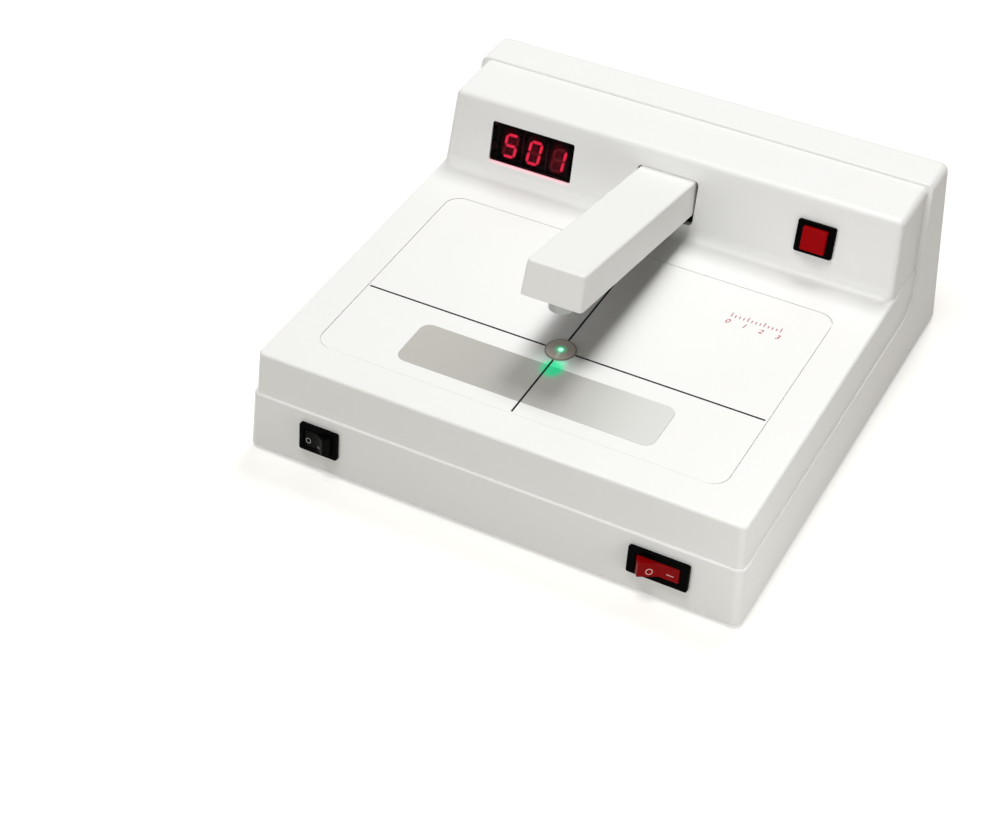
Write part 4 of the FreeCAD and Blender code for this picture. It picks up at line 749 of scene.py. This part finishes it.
def makeNumbers(setup):
    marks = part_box("deck_marks")
    shape = bmesh.new()
    for step, label in enumerate(setup["labels"]):
        curve = bpy.data.curves.new("number" + label, "FONT")
        curve.body = label
        curve.size = setup["size"]
        curve.align_x = "CENTER"
        curve.align_y = "TOP"
        curve.shear = math.tan(math.radians(setup["slant"]))
        curve.extrude = setup["gauge"] / 2
        item = bpy.data.objects.new("number" + label, curve)
        scene.collection.objects.link(item)
        bpy.context.view_layer.update()
        mesh = bpy.data.meshes.new_from_object(item.evaluated_get(bpy.context.evaluated_depsgraph_get()))
        x = marks[0][0] + (marks[1][0] - marks[0][0]) * step / (len(setup["labels"]) - 1)
        mesh.transform(Matrix.Translation((x, marks[0][1] - setup["drop"], deckTop + setup["gauge"] / 2)))
        shape.from_mesh(mesh)
        bpy.data.objects.remove(item)
        bpy.data.meshes.remove(mesh)
    bmesh.ops.remove_doubles(shape, verts=shape.verts, dist=0.001 * mm)
    mesh = finishShape(shape, "markNumbers", Matrix.Identity(4))
    newPiece("markNumbers", mesh, "chassis", finishes["mark_ink"])


makeNumbers(numbers)
print("marks and numbers made")


# Camera, light and floor

cameraSetup = {"place": (0.33187, -0.71491, 0.67633), "azimuth": 28.465, "elevation": 41.595, "roll": -0.13,
               "lens": 78.74, "sensor": 36.0}


def makeCamera(setup):
    data = bpy.data.cameras.new("camera")
    data.lens = setup["lens"]
    data.sensor_width = setup["sensor"]
    camera = bpy.data.objects.new("camera", data)
    turn = (Matrix.Rotation(math.radians(setup["azimuth"]), 4, "Z")
            @ Matrix.Rotation(math.radians(90 - setup["elevation"]), 4, "X")
            @ Matrix.Rotation(math.radians(setup["roll"]), 4, "Z"))
    camera.matrix_world = Matrix.Translation(setup["place"]) @ turn
    scene.collection.objects.link(camera)
    scene.camera = camera


lampSetup = [
    {"name": "keySoftbox", "place": (0.00, 1.15, 2.15), "aim": (0.0, 0.0, 0.05), "size": (0.60, 0.60), "power": 27.0},
    {"name": "topSoftbox", "place": (-0.20, -0.45, 2.35), "aim": (0.0, 0.0, 0.05), "size": (0.8, 0.8), "power": 27.0},
    {"name": "frontFill", "place": (-0.80, -3.00, 1.20), "aim": (0.0, 0.0, 0.05), "size": (1.4, 1.4), "power": 21.0},
    {"name": "sideCard", "place": (0.36, -0.22, 0.10), "aim": (0.12, -0.12, 0.02), "size": (0.10, 0.10),
     "power": 0.27},
]


def makeLamp(setup):
    data = bpy.data.lights.new(setup["name"], "AREA")
    data.shape = "RECTANGLE"
    data.size, data.size_y = setup["size"]
    data.energy = setup["power"]
    lamp = bpy.data.objects.new(setup["name"], data)
    lamp.location = setup["place"]
    lamp.rotation_euler = (Vector(setup["aim"]) - Vector(setup["place"])).to_track_quat("-Z", "Y").to_euler()
    scene.collection.objects.link(lamp)


surroundings = {"ambient": 0.08, "ambientColour": (1.0, 0.93, 0.80), "background": 1.0,
                "floorColour": (0.62, 0.60, 0.56), "floorGlow": 0.5, "floorReach": 6.0,
                "fade": (0.5, 2.0)}


def seenOrMirrored(tree):
    # One where the camera, a mirror or clear glass looks, and nought for the light itself.
    path = tree.nodes.new("ShaderNodeLightPath")
    mirrored = calc(tree, "MAXIMUM", path.outputs["Is Camera Ray"], path.outputs["Is Glossy Ray"])
    return calc(tree, "MAXIMUM", mirrored, path.outputs["Is Transmission Ray"])


def makeSurroundings(setup):
    world = bpy.data.worlds.new("studio")
    scene.world = world
    world.use_nodes = True
    tree = world.node_tree
    background = tree.nodes["Background"]
    seen = seenOrMirrored(tree)
    # White to the eye, and slightly warm as light.
    tint = mixColour(tree, seen, (*setup["ambientColour"], 1.0), (1.0, 1.0, 1.0, 1.0))
    plug(tree, tint, background.inputs["Color"])
    level = addNode(tree, "ShaderNodeMapRange", Value=seen)
    level.inputs["To Min"].default_value = setup["ambient"]
    level.inputs["To Max"].default_value = setup["background"]
    plug(tree, level.outputs["Result"], background.inputs["Strength"])

    mesh = bpy.data.meshes.new("floor")
    reach = setup["floorReach"]
    corners = [(-reach, -reach, 0), (reach, -reach, 0), (reach, reach, 0), (-reach, reach, 0)]
    mesh.from_pydata(corners, [], [(0, 1, 2, 3)])
    floor = bpy.data.objects.new("floor", mesh)
    scene.collection.objects.link(floor)
    material, tree = newMaterial("paleFloor")
    shader = shaderOf(tree)
    shader.inputs["Base Color"].default_value = (*setup["floorColour"], 1.0)
    shader.inputs["Roughness"].default_value = 0.9
    shader.inputs["Specular IOR Level"].default_value = 0.0
    shader.inputs["Emission Color"].default_value = (1.0, 1.0, 1.0, 1.0)
    # The floor fades to plain white away from the object, where the lamps don't reach.
    away = addNode(tree, "ShaderNodeVectorMath", {"operation": "LENGTH"})
    plug(tree, tree.nodes.new("ShaderNodeTexCoord").outputs["Object"], away.inputs[0])
    glow = addNode(tree, "ShaderNodeMapRange", {"interpolation_type": "SMOOTHSTEP"}, Value=away.outputs["Value"])
    for label, value in (("From Min", setup["fade"][0]), ("From Max", setup["fade"][1]),
                         ("To Min", setup["floorGlow"]), ("To Max", 1.0)):
        glow.inputs[label].default_value = value
    plug(tree, calc(tree, "MULTIPLY", seenOrMirrored(tree), glow.outputs["Result"]),
         shader.inputs["Emission Strength"])
    mesh.materials.append(material)


makeCamera(cameraSetup)
for setup in lampSetup:
    makeLamp(setup)
makeSurroundings(surroundings)
scene.view_settings.view_transform = "Standard"
print("camera, lamps and floor made")
